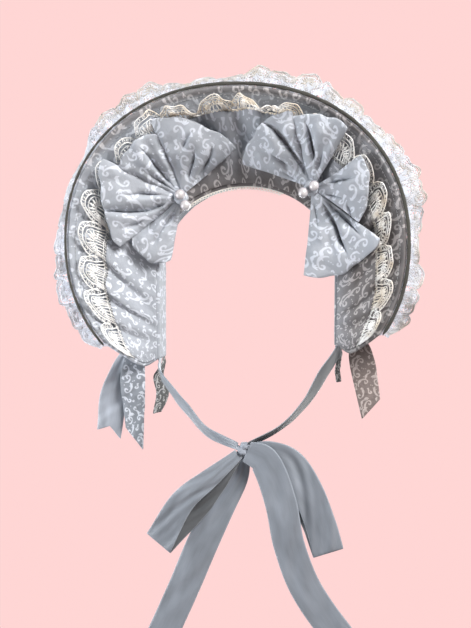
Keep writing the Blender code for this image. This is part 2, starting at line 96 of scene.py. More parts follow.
def sway(x: np.ndarray, seed: float) -> np.ndarray:
    """A smooth wander between -1 and 1 at places x, the same for a seed in each run."""
    slow, quick = np.sin(x + 1.7 * seed), np.sin(2.3 * x + 3.1 * seed)
    return 0.5 * slow + 0.3 * quick + 0.2 * np.sin(4.1 * x + 5.3 * seed)


def run_length(points: np.ndarray) -> np.ndarray:
    """The length along a line of points, from 0 at its first."""
    steps = np.linalg.norm(np.diff(points, axis=0), axis=1)
    return np.concatenate([[0.0], np.cumsum(steps)])


def at_length(where: np.ndarray, length: np.ndarray, line: np.ndarray) -> np.ndarray:
    """The points of a line at some lengths along it."""
    return np.stack([np.interp(where, length, line[:, axis]) for axis in range(3)], -1)


def at_depth(seen: np.ndarray, depth: np.ndarray | float = 0.0) -> np.ndarray:
    """Points (x, z) as seen from the front, put at a depth."""
    return np.stack([seen[..., 0], np.broadcast_to(depth, seen.shape[:-1]), seen[..., 1]], -1)


def square_to(run: np.ndarray) -> np.ndarray:
    """Directions (x, y, z) square to the unit run (x, z) of an edge seen from the front."""
    return at_depth(np.stack([-run[..., 1], run[..., 0]], -1))


def flat_chart(along: np.ndarray, across: np.ndarray) -> np.ndarray:
    """The place of a grid's points on the flat cloth, from lengths along and across it."""
    return np.stack(np.broadcast_arrays(along[:, None], across[None]), -1)


def turned_chart(chart: np.ndarray, degrees: float, shift: tuple[float, float]) -> np.ndarray:
    """Cloth coordinates turned and shifted, so that the print runs another way.

    Args:
        chart: Points on the flat cloth, in metres.
        degrees: How far the print turns.
        shift: How far it moves, in metres.

    Returns:
        The turned points.
    """
    turn = math.radians(degrees)
    cos, sin = math.cos(turn), math.sin(turn)
    return chart @ np.array([[cos, sin], [-sin, cos]]) + np.array(shift)


# Meshes


class Shape(NamedTuple):
    """A mesh before it is laid: points, faces by their number of corners, and cloth coordinates."""

    points: np.ndarray
    faces: list[np.ndarray]
    chart: np.ndarray


def joined(shapes: Sequence[Shape]) -> Shape:
    """Joins shapes.

    Args:
        shapes: The shapes.

    Returns:
        All of them as one shape.
    """
    first, faces = 0, []
    for shape in shapes:
        faces += [corners + first for corners in shape.faces if len(corners)]
        first += len(shape.points)
    return Shape(
        np.concatenate([shape.points for shape in shapes]),
        faces,
        np.concatenate([shape.chart for shape in shapes]),
    )


def grid_normals(middle: np.ndarray, ring: bool) -> np.ndarray:
    """The directions that point straight out of a grid of points.

    Args:
        middle: Points in rows and columns.
        ring: Whether the last row meets the first.

    Returns:
        One unit vector for each point.
    """
    if ring:
        along = np.roll(middle, -1, axis=0) - np.roll(middle, 1, axis=0)
    else:
        along = np.gradient(middle, axis=0)
    return unit(np.cross(along, np.gradient(middle, axis=1)))


def cloth_shape(middle: np.ndarray, thickness: float, chart: np.ndarray, ring: bool = False) -> Shape:
    """One closed wall of cloth round a grid of points, with rounded edges.

    Args:
        middle: The cloth's middle surface, points in rows and columns.
        thickness: The wall's thickness.
        chart: The same points on the flat cloth.
        ring: Whether the last row meets the first.

    Returns:
        The wall, facing out on both sides.
    """
    rows, columns = middle.shape[:2]
    lift = grid_normals(middle, ring) * thickness / 2
    index = np.arange(rows * columns).reshape(rows, columns)
    low = index if ring else index[:-1]
    high = np.roll(index, -1, axis=0) if ring else index[1:]
    front = np.stack([low[:, :-1], high[:, :-1], high[:, 1:], low[:, 1:]], -1).reshape(-1, 4)
    back = front[:, ::-1] + rows * columns
    if ring:
        loops = [index[:, 0], index[::-1, -1]]
    else:
        loops = [np.concatenate([index[:-1, 0], index[-1, :-1], index[:0:-1, -1], index[0, :0:-1]])]
    flat, spread = middle.reshape(-1, 3), chart.reshape(-1, 2)
    points, charts = [flat + lift.reshape(-1, 3), flat - lift.reshape(-1, 3)], [spread] * 2
    faces, first = [front, back], 2 * rows * columns
    for loop in loops:
        i, j = np.divmod(loop, columns)
        within_i = i if ring else np.clip(i, 1, rows - 2)
        inner = middle[within_i, np.clip(j, 1, columns - 2)]
        points.append(flat[loop] + unit(flat[loop] - inner) * thickness * 0.4)
        charts.append(spread[loop])
        rim = np.arange(first, first + len(loop))
        first += len(loop)
        following, rim_following = np.roll(loop, -1), np.roll(rim, -1)
        faces.append(np.stack([following, loop, rim, rim_following], -1))
        behind = rows * columns
        faces.append(np.stack([rim_following, rim, loop + behind, following + behind], -1))
    return Shape(np.concatenate(points), faces, np.concatenate(charts))


class Cut(NamedTuple):
    """The flat size of a piece of cloth: its width, its length and its area."""

    width: float
    length: float
    area: float


def cut_of(middle: np.ndarray, ring: bool = False) -> Cut:
    """The flat cut of a cloth, measured along its own surface.

    Args:
        middle: The cloth's middle surface, points in rows and columns.
        ring: Whether the last row meets the first.

    Returns:
        Its widest width, its longest length and the area that it covers.
    """
    rows = np.concatenate([middle, middle[:1]]) if ring else middle
    across = np.diff(rows, axis=1)
    along = np.diff(rows, axis=0)
    width = float(np.linalg.norm(across, axis=-1).sum(1).max())
    length = float(np.linalg.norm(along, axis=-1).sum(0).max())
    patches = np.linalg.norm(np.cross(along[:, :-1], across[:-1]), axis=-1)
    return Cut(width, length, float(patches.sum()))


def cord_shape(
    path: np.ndarray, up: np.ndarray, radius: np.ndarray | float, sides: int, closed: bool = False
) -> Shape:
    """A round cord along a path, with closed ends.

    Args:
        path: The points of its middle line.
        up: A direction across the path at each point.
        radius: The cord's radius, one for all points or one for each.
        sides: The number of faces round it.
        closed: Whether the path comes back to its start.

    Returns:
        The cord.
    """
    count = len(path)
    around = np.roll(path, -1, axis=0) - np.roll(path, 1, axis=0)
    along = unit(around if closed else np.gradient(path, axis=0))
    side = unit(np.cross(along, up))
    over = np.cross(side, along)
    angle = np.arange(sides) * TURN / sides
    radii = np.broadcast_to(np.asarray(radius, float), (count,))[:, None, None]
    round_it = side[:, None] * np.cos(angle)[:, None] + over[:, None] * np.sin(angle)[:, None]
    points = (path[:, None] + round_it * radii).reshape(-1, 3)
    length = run_length(path)
    chart = flat_chart(length, angle / TURN * np.mean(radii) * TURN).reshape(-1, 2)
    index = np.arange(count * sides).reshape(count, sides)
    low = index if closed else index[:-1]
    high = np.roll(index, -1, axis=0) if closed else index[1:]
    walls = np.stack([low, np.roll(low, -1, axis=1), np.roll(high, -1, axis=1), high], -1)
    faces = [walls.reshape(-1, 4)]
    if not closed:
        faces += [index[:1, ::-1], index[-1:]]
    return Shape(points, faces, chart)


def ball_shape(radius: np.ndarray, rings: int, around: int) -> Shape:
    """A round body about the X axis.

    Args:
        radius: Its radius at each ring and step round it, as an array of rings and steps.
        rings: The number of rings between its poles.
        around: The number of steps round it.

    Returns:
        The body, about the origin.
    """
    polar, turn = polar_steps(rings), round_steps(around)
    across = radius * np.sin(polar)
    points = np.stack([radius * np.cos(polar), across * np.cos(turn), across * np.sin(turn)], -1)
    poles = np.array([[radius[0].mean(), 0, 0], [-radius[-1].mean(), 0, 0]])
    index = np.arange(rings * around).reshape(rings, around)
    low, high = index[:-1], index[1:]
    walls = np.stack([low, high, np.roll(high, -1, axis=1), np.roll(low, -1, axis=1)], -1)
    first, last = index[0], index[-1]
    north, south = np.full(around, rings * around), np.full(around, rings * around + 1)
    cap = np.stack([north, first, np.roll(first, -1)], -1)
    foot = np.stack([south, np.roll(last, -1), last], -1)
    size = float(radius.mean())
    chart = flat_chart(size * polar[:, 0], size * turn[0]).reshape(-1, 2)
    chart = np.concatenate([chart, [[0, 0], [size * math.pi, 0]]])
    points = np.concatenate([points.reshape(-1, 3), poles])
    return Shape(points, [walls.reshape(-1, 4), np.concatenate([cap, foot])], chart)


def polar_steps(rings: int) -> np.ndarray:
    """The angles of a ball's rings from its pole, as a column."""
    return np.linspace(0, math.pi, rings + 2)[1:-1, None]


def round_steps(around: int) -> np.ndarray:
    """The angles of the steps round a ball, as a row."""
    return np.arange(around)[None] * TURN / around


def set_knot(ball: Shape, squeeze: tuple[float, float], degrees: float, centre: np.ndarray) -> Shape:
    """Squeezes a ball into a knot, turns it as seen from the front and puts it in its place.

    Args:
        ball: The ball, about the origin.
        squeeze: Its factors along its axis and upwards.
        degrees: How far it turns.
        centre: Where its middle goes.

    Returns:
        The knot.
    """
    tilt = math.radians(degrees)
    cos, sin = math.cos(tilt), math.sin(tilt)
    x, z = ball.points[:, 0] * squeeze[0], ball.points[:, 2] * squeeze[1]
    seen = np.stack([x * cos - z * sin, x * sin + z * cos], -1)
    return ball._replace(points=at_depth(seen, ball.points[:, 1]) + centre)


def lay(
    name: str,
    shape: Shape,
    finish: "Finish",
    slot: Slot,
    nodes: Sequence[str] = (),
    reverse: "Finish | None" = None,
) -> bpy.types.Object:
    """Lays a shape as a piece of the bonnet.

    Args:
        name: The piece's name.
        shape: Its mesh.
        finish: What it is made of.
        slot: The record's slot for it; it is not used here.
        nodes: The solids that it stands for.
        reverse: The finish of a cloth's other side, if that differs.

    Returns:
        The new object, which rides on the bonnet's body.
    """
    name = f"{name}_dressed"
    mesh = bpy.data.meshes.new(name)
    mesh.vertices.add(len(shape.points))
    mesh.vertices.foreach_set("co", shape.points.astype(np.float32).ravel())
    corners = np.concatenate([part.ravel() for part in shape.faces])
    sizes = np.concatenate([np.full(len(part), part.shape[1]) for part in shape.faces])
    mesh.loops.add(len(corners))
    mesh.loops.foreach_set("vertex_index", corners.astype(np.int32))
    mesh.polygons.add(len(sizes))
    starts = np.concatenate([[0], np.cumsum(sizes)[:-1]])
    mesh.polygons.foreach_set("loop_start", starts.astype(np.int32))
    mesh.update(calc_edges=True)
    chart = mesh.uv_layers.new(name="cloth")
    chart.data.foreach_set("uv", shape.chart[corners].astype(np.float32).ravel())
    mesh.validate()
    mesh.shade_smooth()
    mesh.materials.append(finish.material())
    if reverse:
        mesh.materials.append(reverse.material())
        sides = np.zeros(len(sizes), np.int32)
        sides[len(shape.faces[0]) : len(shape.faces[0]) + len(shape.faces[1])] = 1
        mesh.polygons.foreach_set("material_index", sides)
    piece = bpy.data.objects.new(name, mesh)
    bpy.context.scene.collection.objects.link(piece)
    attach(piece, BODY)
    if nodes:
        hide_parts(*nodes)
    LOG.info("%s: %d faces", name, len(sizes))
    return piece


# Shaders


class Signal:
    """A number that changes over a surface: a shader's socket with Python's operators."""

    def __init__(self, dye: "Dye", socket: bpy.types.NodeSocket) -> None:
        """Wraps one output socket of a dye's tree."""
        self.dye = dye
        self.socket = socket

    def __add__(self, other: "Signal | float") -> "Signal":
        """The sum."""
        return self.dye.maths("ADD", self, other)

    __radd__ = __add__

    def __sub__(self, other: "Signal | float") -> "Signal":
        """The difference."""
        return self.dye.maths("SUBTRACT", self, other)

    def __rsub__(self, other: float) -> "Signal":
        """The difference from a number."""
        return self.dye.maths("SUBTRACT", other, self)

    def __mul__(self, other: "Signal | float") -> "Signal":
        """The product."""
        return self.dye.maths("MULTIPLY", self, other)

    __rmul__ = __mul__

    def __abs__(self) -> "Signal":
        """The value without its sign."""
        return self.dye.maths("ABSOLUTE", self)

    def __lt__(self, other: "Signal | float") -> "Signal":
        """1 where it is less, else 0."""
        return self.dye.maths("LESS_THAN", self, other)

    def __or__(self, other: "Signal | float") -> "Signal":
        """The larger of two masks."""
        return self.dye.maths("MAXIMUM", self, other)

    def ramp(self, scale: float, shift: float) -> "Signal":
        """Scaled, shifted and kept between 0 and 1."""
        return self.dye.maths("MULTIPLY_ADD", self, scale, shift, clamp=True)

    def scaled(self, scale: float, shift: float) -> "Signal":
        """Scaled and shifted, in one node."""
        return self.dye.maths("MULTIPLY_ADD", self, scale, shift)

    def sine(self) -> "Signal":
        """The sine of an angle."""
        return self.dye.maths("SINE", self)


class Dye:
    """One material's node tree, with one method that adds any node."""

    def __init__(self, name: str, **constants: float | tuple) -> None:
        """Starts a material.

        Args:
            name: Its name.
            constants: Values for the shader's own sockets, with _ for a space.
        """
        self.material = bpy.data.materials.new(name)
        self.material.use_nodes = True
        self.tree = self.material.node_tree
        self.shader = self.tree.nodes["Principled BSDF"]
        for socket, value in constants.items():
            self.shader.inputs[socket.replace("_", " ")].default_value = value

    def feed(self, socket: bpy.types.NodeSocket, value: object) -> None:
        """Feeds a socket.

        Args:
            socket: The socket.
            value: A signal or another socket to link to it, or a constant.
        """
        if isinstance(value, Signal):
            value = value.socket
        if isinstance(value, bpy.types.NodeSocket):
            self.tree.links.new(value, socket)
        else:
            socket.default_value = value

    def node(
        self, kind: str, settings: dict[str, object] | None = None, **sockets: object
    ) -> bpy.types.Node:
        """Adds any node.

        Args:
            kind: The node's type.
            settings: Its settings, set first.
            sockets: Values or links, by the socket's name with _ for a space, or _0 for the first.

        Returns:
            The node.
        """
        made = self.tree.nodes.new(kind)
        for setting, value in (settings or {}).items():
            setattr(made, setting, value)
        for name, value in sockets.items():
            key = int(name[1:]) if name[0] == "_" and name[1:].isdigit() else name.replace("_", " ")
            self.feed(made.inputs[key], value)
        return made

    def maths(self, operation: str, *values: "Signal | float", clamp: bool = False) -> Signal:
        """One Math node.

        Args:
            operation: What it works out.
            values: The numbers or signals that go in.
            clamp: Whether its result is kept between 0 and 1.

        Returns:
            Its result.
        """
        sockets = {f"_{place}": value for place, value in enumerate(values)}
        made = self.node("ShaderNodeMath", {"operation": operation, "use_clamp": clamp}, **sockets)
        return Signal(self, made.outputs[0])

    def chart(self) -> tuple[Signal, Signal]:
        """The place on the flat cloth.

        Returns:
            How far along and across it, in millimetres.
        """
        place = self.node("ShaderNodeUVMap", {"uv_map": "cloth"})
        along, across, _ = self.apart(place.outputs[0])
        return along * (1 / MM), across * (1 / MM)

    def apart(self, vector: bpy.types.NodeSocket) -> list[Signal]:
        """The three parts of a vector."""
        return [Signal(self, part) for part in self.node("ShaderNodeSeparateXYZ", _0=vector).outputs]

    def away(self, x: Signal, y: Signal) -> Signal:
        """The distance of a point that lies x and y away."""
        return self.maths("SQRT", self.maths("MULTIPLY_ADD", x, x, y * y))

    def place(self) -> bpy.types.NodeSocket:
        """The place on the piece itself, in metres."""
        return self.node("ShaderNodeTexCoord").outputs["Object"]

    def noise(
        self, scale: float, detail: float = 2.0, stretch: tuple[float, float] | None = None
    ) -> Signal:
        """Smooth noise between 0 and 1.

        Args:
            scale: Its bumps to the metre.
            detail: How many finer layers it has.
            stretch: For noise on the flat cloth, its scale along and across; else it is in space.

        Returns:
            The noise.
        """
        where: object = self.place()
        if stretch:
            along, across = self.chart()
            where = self.node(
                "ShaderNodeCombineXYZ", _0=along * (stretch[0] * MM), _1=across * (stretch[1] * MM)
            ).outputs[0]
        made = self.node("ShaderNodeTexNoise", Vector=where, Scale=scale, Detail=detail)
        return Signal(self, made.outputs["Fac"])

    def blend(self, share: Signal, start: object, end: object) -> bpy.types.NodeSocket:
        """A colour between two colours."""
        made = self.node("ShaderNodeMix", {"data_type": "RGBA"}, _0=share, _6=start, _7=end)
        return made.outputs[2]

    def bump(self, height: Signal, distance: float, strength: float) -> None:
        """Gives the shader a relief, whose height of 1 stands for a distance in metres."""
        made = self.node("ShaderNodeBump", Height=height, Distance=distance, Strength=strength)
        self.feed(self.shader.inputs["Normal"], made.outputs[0])

    def let_through(self, share: float, tint: object, opaque: "Signal | float" = 1.0) -> None:
        """Lets some of the light behind a thin cloth through it.

        Args:
            share: How much of the cloth's look is light from behind.
            tint: The colour of that light.
            opaque: 1 where there is thread and 0 in the holes.
        """
        lit = self.node("ShaderNodeBsdfTranslucent", Color=tint)
        hole = self.node("ShaderNodeBsdfTransparent")
        behind = self.node("ShaderNodeMixShader", _0=opaque, _1=hole.outputs[0], _2=lit.outputs[0])
        cloth = self.shader.outputs[0]
        both = self.node("ShaderNodeMixShader", _0=share, _1=cloth, _2=behind.outputs[0])
        self.feed(self.tree.nodes["Material Output"].inputs["Surface"], both.outputs[0])

    def give(self, **sockets: object) -> bpy.types.Material:
        """Finishes the material.

        Args:
            sockets: What goes into the shader's sockets, by their names with _ for a space.

        Returns:
            The material.
        """
        for name, value in sockets.items():
            self.feed(self.shader.inputs[name.replace("_", " ")], value)
        return self.material


Colour = tuple[float, float, float, float]


@dataclass(frozen=True)
class Finish:
    """What a piece is made of."""

    name: str
    ground: Colour

    def toned(self, factor: float) -> Colour:
        """The ground, made darker or lighter by a factor."""
        return tuple(min(1.0, part * factor) for part in self.ground[:3]) + (1,)

    def material(self) -> bpy.types.Material:
        """The finish's material, made once."""
        return bpy.data.materials.get(self.name) or self.dyed()

    def dyed(self) -> bpy.types.Material:
        """Makes the material."""
        raise NotImplementedError


class Stroke(NamedTuple):
    """One curved stroke of the print, in millimetres and radians."""

    x: float
    y: float
    radius: float
    end_radius: float
    start: float
    hand: int
    sweep: float
    half_width: float
    end_half_width: float


class Scroll(NamedTuple):
    """One scroll of the print: a curl that winds in, and its long tail.

    A tail above 0 degrees bends away from the curl into an S, one below 0 runs on into a C.
    """

    x: float
    y: float
    size: float
    turn: float
    hand: int
    tail: float


class LeafFan(NamedTuple):
    """A few leaves from one point: place, direction, number, angle between them and length."""

    x: float
    y: float
    turn: float
    leaves: int
    step: float
    length: float


@dataclass(frozen=True)
class ScrollPrint:
    """The chart of the print, drawn as half a repeat and mirrored to either side."""

    width: float = 36.0
    height: float = 46.0
    scale: float = 1.02
    edge: float = 0.62
    half_width: float = 0.78
    lobes: float = 0.20
    leaf_width: float = 0.80
    curl_size: float = 0.60
    curl_end: float = 0.20
    curl_sweep: float = math.radians(300)
    tail_size: float = 1.55
    tail_widening: float = 1.12
    tail_sweep: float = 0.85
    scrolls: tuple[Scroll, ...] = (
        Scroll(6.0, 7.0, 4.2, 60, 1, -150), Scroll(18.5, 4.5, 3.2, 200, -1, 110),
        Scroll(29.0, 8.0, 4.6, 120, -1, -140), Scroll(4.5, 19.5, 3.2, -20, 1, 120),
        Scroll(15.0, 16.0, 4.4, 250, 1, -150), Scroll(27.0, 19.5, 3.6, 20, 1, 110),
        Scroll(8.5, 30.0, 4.4, 150, -1, -140), Scroll(20.5, 28.5, 3.2, 80, -1, 120),
        Scroll(31.5, 30.5, 4.0, 230, 1, -140), Scroll(3.5, 40.0, 3.0, 40, -1, 110),
        Scroll(15.5, 39.0, 4.0, 300, 1, -150), Scroll(27.5, 40.5, 4.2, 170, 1, -130),
    )
    fans: tuple[LeafFan, ...] = (
        LeafFan(12.0, 9.0, 75, 4, 30, 4.6), LeafFan(33.8, 17.5, 170, 3, 34, 3.6),
        LeafFan(23.0, 12.5, 20, 3, 36, 3.4), LeafFan(9.0, 24.0, 200, 3, 36, 3.4),
        LeafFan(25.5, 33.0, 100, 4, 30, 4.4), LeafFan(1.5, 31.5, 20, 3, 34, 3.6),
        LeafFan(34.5, 42.0, 200, 3, 34, 3.4), LeafFan(10.0, 44.0, 90, 3, 36, 3.4),
        LeafFan(21.5, 21.5, 300, 2, 44, 3.2),
    )
    dots: tuple[tuple[float, float, float], ...] = (
        (11.0, 2.0, 0.60), (22.5, 1.0, 0.55), (24.3, 2.0, 0.50), (25.8, 3.4, 0.45),
        (9.5, 20.0, 0.65), (14.5, 23.5, 0.55), (16.2, 24.4, 0.50), (18.0, 24.6, 0.45),
        (26.0, 26.0, 0.60), (14.5, 33.0, 0.60), (34.0, 24.0, 0.60), (20.5, 43.5, 0.55),
        (22.2, 44.2, 0.50), (31.5, 2.5, 0.60), (30.0, 36.2, 0.55), (6.5, 35.5, 0.55),
    )

    def strokes(self) -> Iterator[Stroke]:
        """Draws the curls and tails of all scrolls.

        Returns:
            One stroke at a time.
        """
        for scroll in self.scrolls:
            turn, curl = math.radians(scroll.turn), scroll.size * self.curl_size
            yield Stroke(
                scroll.x, scroll.y, curl, scroll.size * self.curl_end, turn, scroll.hand,
                self.curl_sweep, self.half_width * 0.55, self.half_width * 1.15,
            )
            run, opens = scroll.size * self.tail_size, scroll.tail > 0
            reach = curl + run if opens else curl - run
            x, y = scroll.x + reach * math.cos(turn), scroll.y + reach * math.sin(turn)
            yield Stroke(
                x, y, run, run * self.tail_widening,
                turn + math.pi * opens, scroll.hand if opens else -scroll.hand,
                math.radians(abs(scroll.tail) * self.tail_sweep),
                self.half_width * 0.40, self.half_width * 1.50,
            )

    def drawn(self, dye: Dye, along: Signal, across: Signal) -> Signal:
        """The print's mask.

        Args:
            dye: The material's tree.
            along: The place along the cloth, in millimetres.
            across: The place across it.

        Returns:
            1 on the print, 0 on the ground.
        """
        u = dye.maths("PINGPONG", along * (1 / self.scale), self.width)
        v = dye.maths("WRAP", across * (1 / self.scale), self.height, 0.0)
        mask = None
        for stroke in self.strokes():
            x, y = u - stroke.x, v - stroke.y
            angle = dye.maths("ARCTAN2", y, x).scaled(stroke.hand, -stroke.start * stroke.hand)
            share = dye.maths("WRAP", angle, TURN, 0.0) * (1 / stroke.sweep)
            near = abs(dye.away(x, y) - share.scaled(stroke.end_radius - stroke.radius, stroke.radius))
            swell = (share * math.pi).sine()
            half = swell.scaled(stroke.end_half_width - stroke.half_width, stroke.half_width)
            half = half * (share * 14).sine().scaled(self.lobes, 1.0)
            body = (half - near).ramp(1 / self.edge, 0.5) * (share < 1.0)
            mask = body if mask is None else mask | body
        for fan in self.fans:
            x, y = u - fan.x, v - fan.y
            step = math.radians(fan.step)
            angle = dye.maths("ARCTAN2", y, x) - (math.radians(fan.turn) - step * fan.leaves / 2)
            within = dye.maths("WRAP", angle, TURN, 0.0)
            leaf = dye.maths("PINGPONG", within, step / 2)
            away = dye.away(x, y)
            off = away * (step / 2 - leaf)
            half = (away * (math.pi / fan.length)).sine() * self.leaf_width
            body = (half - off).ramp(1 / self.edge, 0.5) * (away < fan.length)
            mask = mask | (body * (within < fan.leaves * step))
        for x, y, radius in self.dots:
            away = dye.away(u - x, v - y)
            mask = mask | away.ramp(-1 / self.edge, radius / self.edge + 0.5)
        return mask


@dataclass(frozen=True)
class PrintCloth(Finish):
    """Plain woven cotton with the scroll print."""

    motif: Colour = (0.62, 0.65, 0.71, 1)
    rough: float = 0.86
    weave_pitch: float = 0.55
    crumple: float = 0.0022
    crumple_scale: float = 115.0
    chart: ScrollPrint = ScrollPrint()
    # Painted shade: above 0, how strongly the cloth is toned darker and browner at its right side, along
    # the top of the face opening and along the top of the rim; the next four fields set its colours and
    # where it starts.
    tone_and_painted_shade: float = 0.0
    painted_shade_ground: Colour = (0.125, 0.108, 0.101, 1)
    painted_shade_motif: Colour = (0.43, 0.39, 0.37, 1)
    painted_shade_from: float = 0.062
    painted_shade_run: float = 0.032

    def dyed(self) -> bpy.types.Material:
        """Cotton: a ground that varies a little, the print, painted shade where it is asked for, and the
        weave and crumples as relief.

        Returns:
            The material.
        """
        dye = Dye(self.name, Sheen_Weight=0.12, Sheen_Roughness=0.5, Specular_IOR_Level=0.25)
        along, across = dye.chart()
        print_mask = self.chart.drawn(dye, along, across)
        cloudy = dye.noise(38.0, 3.0)
        slub = dye.noise(1.0, 1.0, (900.0, 5200.0))
        worn = (print_mask * (1 - slub * 0.22)).ramp(1.0, 0.0)
        ground = dye.blend(cloudy, self.toned(0.86), self.toned(1.10))
        motif: object = self.motif
        if self.tone_and_painted_shade:
            # Painted shade: the right side (strongest low down), the top of the opening and the top of
            # the rim are toned darker and browner, mottled by the cloudy tone.
            x, y, z = dye.apart(dye.place())
            side = x.ramp(1 / self.painted_shade_run, -self.painted_shade_from / self.painted_shade_run)
            side = side * z.ramp(-12.0, 0.45).scaled(0.45, 0.55)
            shade_at_opening = y.ramp(70.0, 1.15) * z.ramp(30.0, 1.5)
            shade_at_rim = y.ramp(-240.0, -9.4) * z.ramp(25.0, 0.2)
            toned = (side | shade_at_opening | shade_at_rim * 0.85) * (cloudy.scaled(0.5, 0.75) * self.tone_and_painted_shade)
            ground = dye.blend(toned, ground, self.painted_shade_ground)
            motif = dye.blend(toned, self.motif, self.painted_shade_motif)
        warp = (along * (TURN / self.weave_pitch)).sine()
        weft = (across * (TURN / self.weave_pitch)).sine()
        weave = (warp * weft).scaled(0.25, 0.5) + slub * 0.35
        crumple = dye.noise(self.crumple_scale, 3.0)
        dye.bump(weave * 0.07 + crumple, self.crumple, 0.8)
        return dye.give(
            Base_Color=dye.blend(worn, ground, motif),
            Roughness=slub.scaled(0.12, self.rough - 0.06) - print_mask * 0.05,
        )


@dataclass(frozen=True)
class PlainCotton(Finish):
    """Cotton without a print, for bindings and sewing thread."""

    rough: float = 0.85
    rib_pitch: float = 0.7

    def dyed(self) -> bpy.types.Material:
        """Cotton with fine slanting ribs.

        Returns:
            The material.
        """
        dye = Dye(self.name, Sheen_Weight=0.1, Specular_IOR_Level=0.25)
        along, across = dye.chart()
        cloudy = dye.noise(120.0, 3.0)
        ribs = ((along + across) * (TURN / self.rib_pitch)).sine().scaled(0.5, 0.5)
        dye.bump(ribs + cloudy, 0.0001, 0.7)
        return dye.give(
            Base_Color=dye.blend(cloudy, self.toned(0.7), self.toned(1.25)),
            Roughness=cloudy.scaled(0.1, self.rough - 0.05),
        )


@dataclass(frozen=True)
class SatinRibbon(Finish):
    """Woven satin ribbon with a selvedge at each edge."""

    rough: float = 0.42
    half_width: float = 12.5
    selvedge: float = 0.8
    relief: float = 0.00009

    def dyed(self) -> bpy.types.Material:
        """Satin: streaks along the warp, broad patches of painted sheen, a soft gloss and a firmer edge.

        Returns:
            The material.
        """
        dye = Dye(self.name, Sheen_Weight=0.25, Sheen_Roughness=0.35, Specular_IOR_Level=0.45)
        along, across = dye.chart()
        streaks = dye.noise(1.0, 3.0, (60.0, 2600.0))
        # Painted sheen: broad random light and dark patches along the ribbon, standing in for the
        # satin's soft highlights.
        painted_sheen_clouds = dye.noise(1.0, 2.0, (26.0, 85.0)).ramp(2.2, -0.6)
        edge = (abs(across) - (self.half_width - self.selvedge)).ramp(4.0, 0.0)
        ground = dye.blend(streaks * 0.4 + painted_sheen_clouds * 0.6, self.toned(0.60), self.toned(1.24))
        picks = (along * (TURN / 0.45)).sine().scaled(0.15, 0.5)
        dye.bump(picks + streaks * 0.5 + edge * 0.5, self.relief, 0.7)
        return dye.give(
            Base_Color=dye.blend(edge * 0.5, ground, self.toned(1.35)),
            Roughness=streaks.scaled(0.16, self.rough - 0.06) + edge * 0.12,
        )


@dataclass(frozen=True)
class LaceThread(Finish):
    """Twisted cotton thread, as lace is made of."""

    shade: Colour = (0.62, 0.54, 0.42, 1)
    rough: float = 0.85
    veil: float = 0.0
    twist_pitch: float = 0.9
    # Above this height the thread is toned towards its shade colour, partly its own reverse side and
    # partly painted shade; right of the next place the toning is painted shade.
    shade_and_reverse_height: float = 0.035
    painted_shade_side: float = 0.094

    def dyed(self) -> bpy.types.Material:
        """Thread: a tone that wanders between its ground and its shade, leaning to its shade at the
        right side as painted shade and at the top partly as the lace's reverse and partly as painted
        shade, and a twist as relief.

        Returns:
            The material.
        """
        dye = Dye(self.name, Sheen_Weight=0.2, Specular_IOR_Level=0.3)
        along, across = dye.chart()
        tone = dye.noise(70.0, 3.0)
        x, _, z = dye.apart(dye.place())
        # Painted shade at the right side; at the top partly the lace's reverse side and partly painted
        # shade, added to the random tone.
        top, side = z.ramp(45.0, -45.0 * self.shade_and_reverse_height), x.ramp(45.0, -45.0 * self.painted_shade_side)
        tone_and_painted_shade = tone + (top | side * 0.8) * 0.30
        twist = (along * (TURN / self.twist_pitch) + across * 2.4).sine().scaled(0.5, 0.5)
        if self.veil:
            dye.let_through(self.veil, self.ground)
        dye.bump(twist, 0.00012, 0.8)
        return dye.give(
            Base_Color=dye.blend(tone_and_painted_shade.ramp(3.2, -1.9), self.ground, self.shade),
            Roughness=tone.scaled(0.1, self.rough - 0.05),
        )


@dataclass(frozen=True)
class NetGround(Finish):
    """Fine net, see-through between its threads."""

    pitch: float = 1.6
    thread: float = 0.10
    veil: float = 0.50
    glow: Colour = (0.86, 0.92, 0.98, 1)

    def dyed(self) -> bpy.types.Material:
        """Net: three sets of threads at 60 degrees, with a small woven figure.

        Returns:
            The material.
        """
        dye = Dye(self.name, Sheen_Weight=0.1, Specular_IOR_Level=0.2, Roughness=0.9)
        along, across = dye.chart()
        mask = None
        for degrees in (0, 60, 120):
            turn = math.radians(degrees)
            line = along * (math.cos(turn) / self.pitch) + across * (math.sin(turn) / self.pitch)
            off = abs(dye.maths("FRACT", line) - 0.5)
            body = off.ramp(-12.0, 12.0 * self.thread + 0.5)
            mask = body if mask is None else mask | body
        figure = dye.noise(1.0, 2.0, (230.0, 230.0)).ramp(9.0, -4.1)
        tone = dye.noise(60.0, 2.0)
        opaque = mask | figure
        dye.let_through(self.veil, self.glow, opaque)
        return dye.give(Base_Color=dye.blend(tone, self.toned(0.86), self.ground), Alpha=opaque)


@dataclass(frozen=True)
class PearlLustre(Finish):
    """A glossy bead with a soft pearl lustre."""

    blush: Colour = (0.36, 0.30, 0.325, 1)

    def dyed(self) -> bpy.types.Material:
        """Pearl: cream in the middle and a blush towards its edge, under a clear coat.

        Returns:
            The material.
        """
        dye = Dye(
            self.name, Coat_Weight=0.8, Coat_Roughness=0.06, Specular_IOR_Level=0.6, Metallic=0.1
        )
        facing = dye.node("ShaderNodeLayerWeight", Blend=0.35).outputs["Facing"]
        cloudy = dye.noise(300.0, 2.0)
        return dye.give(
            Base_Color=dye.blend(Signal(dye, facing) * 0.8 + cloudy * 0.15, self.ground, self.blush),
            Roughness=cloudy.scaled(0.12, 0.14),
        )


@dataclass(frozen=True)
class StudioSurface(Finish):
    """The plain pale surface around the bonnet, which glows evenly and takes no shadows."""

    glow: float = 1.0

    def dyed(self) -> bpy.types.Material:
        """An even matt tone.

        Returns:
            The material.
        """
        dye = Dye(
            self.name, Base_Color=(0, 0, 0, 1), Roughness=0.95, Specular_IOR_Level=0.0,
            Emission_Color=self.ground, Emission_Strength=self.glow,
        )
        return dye.material


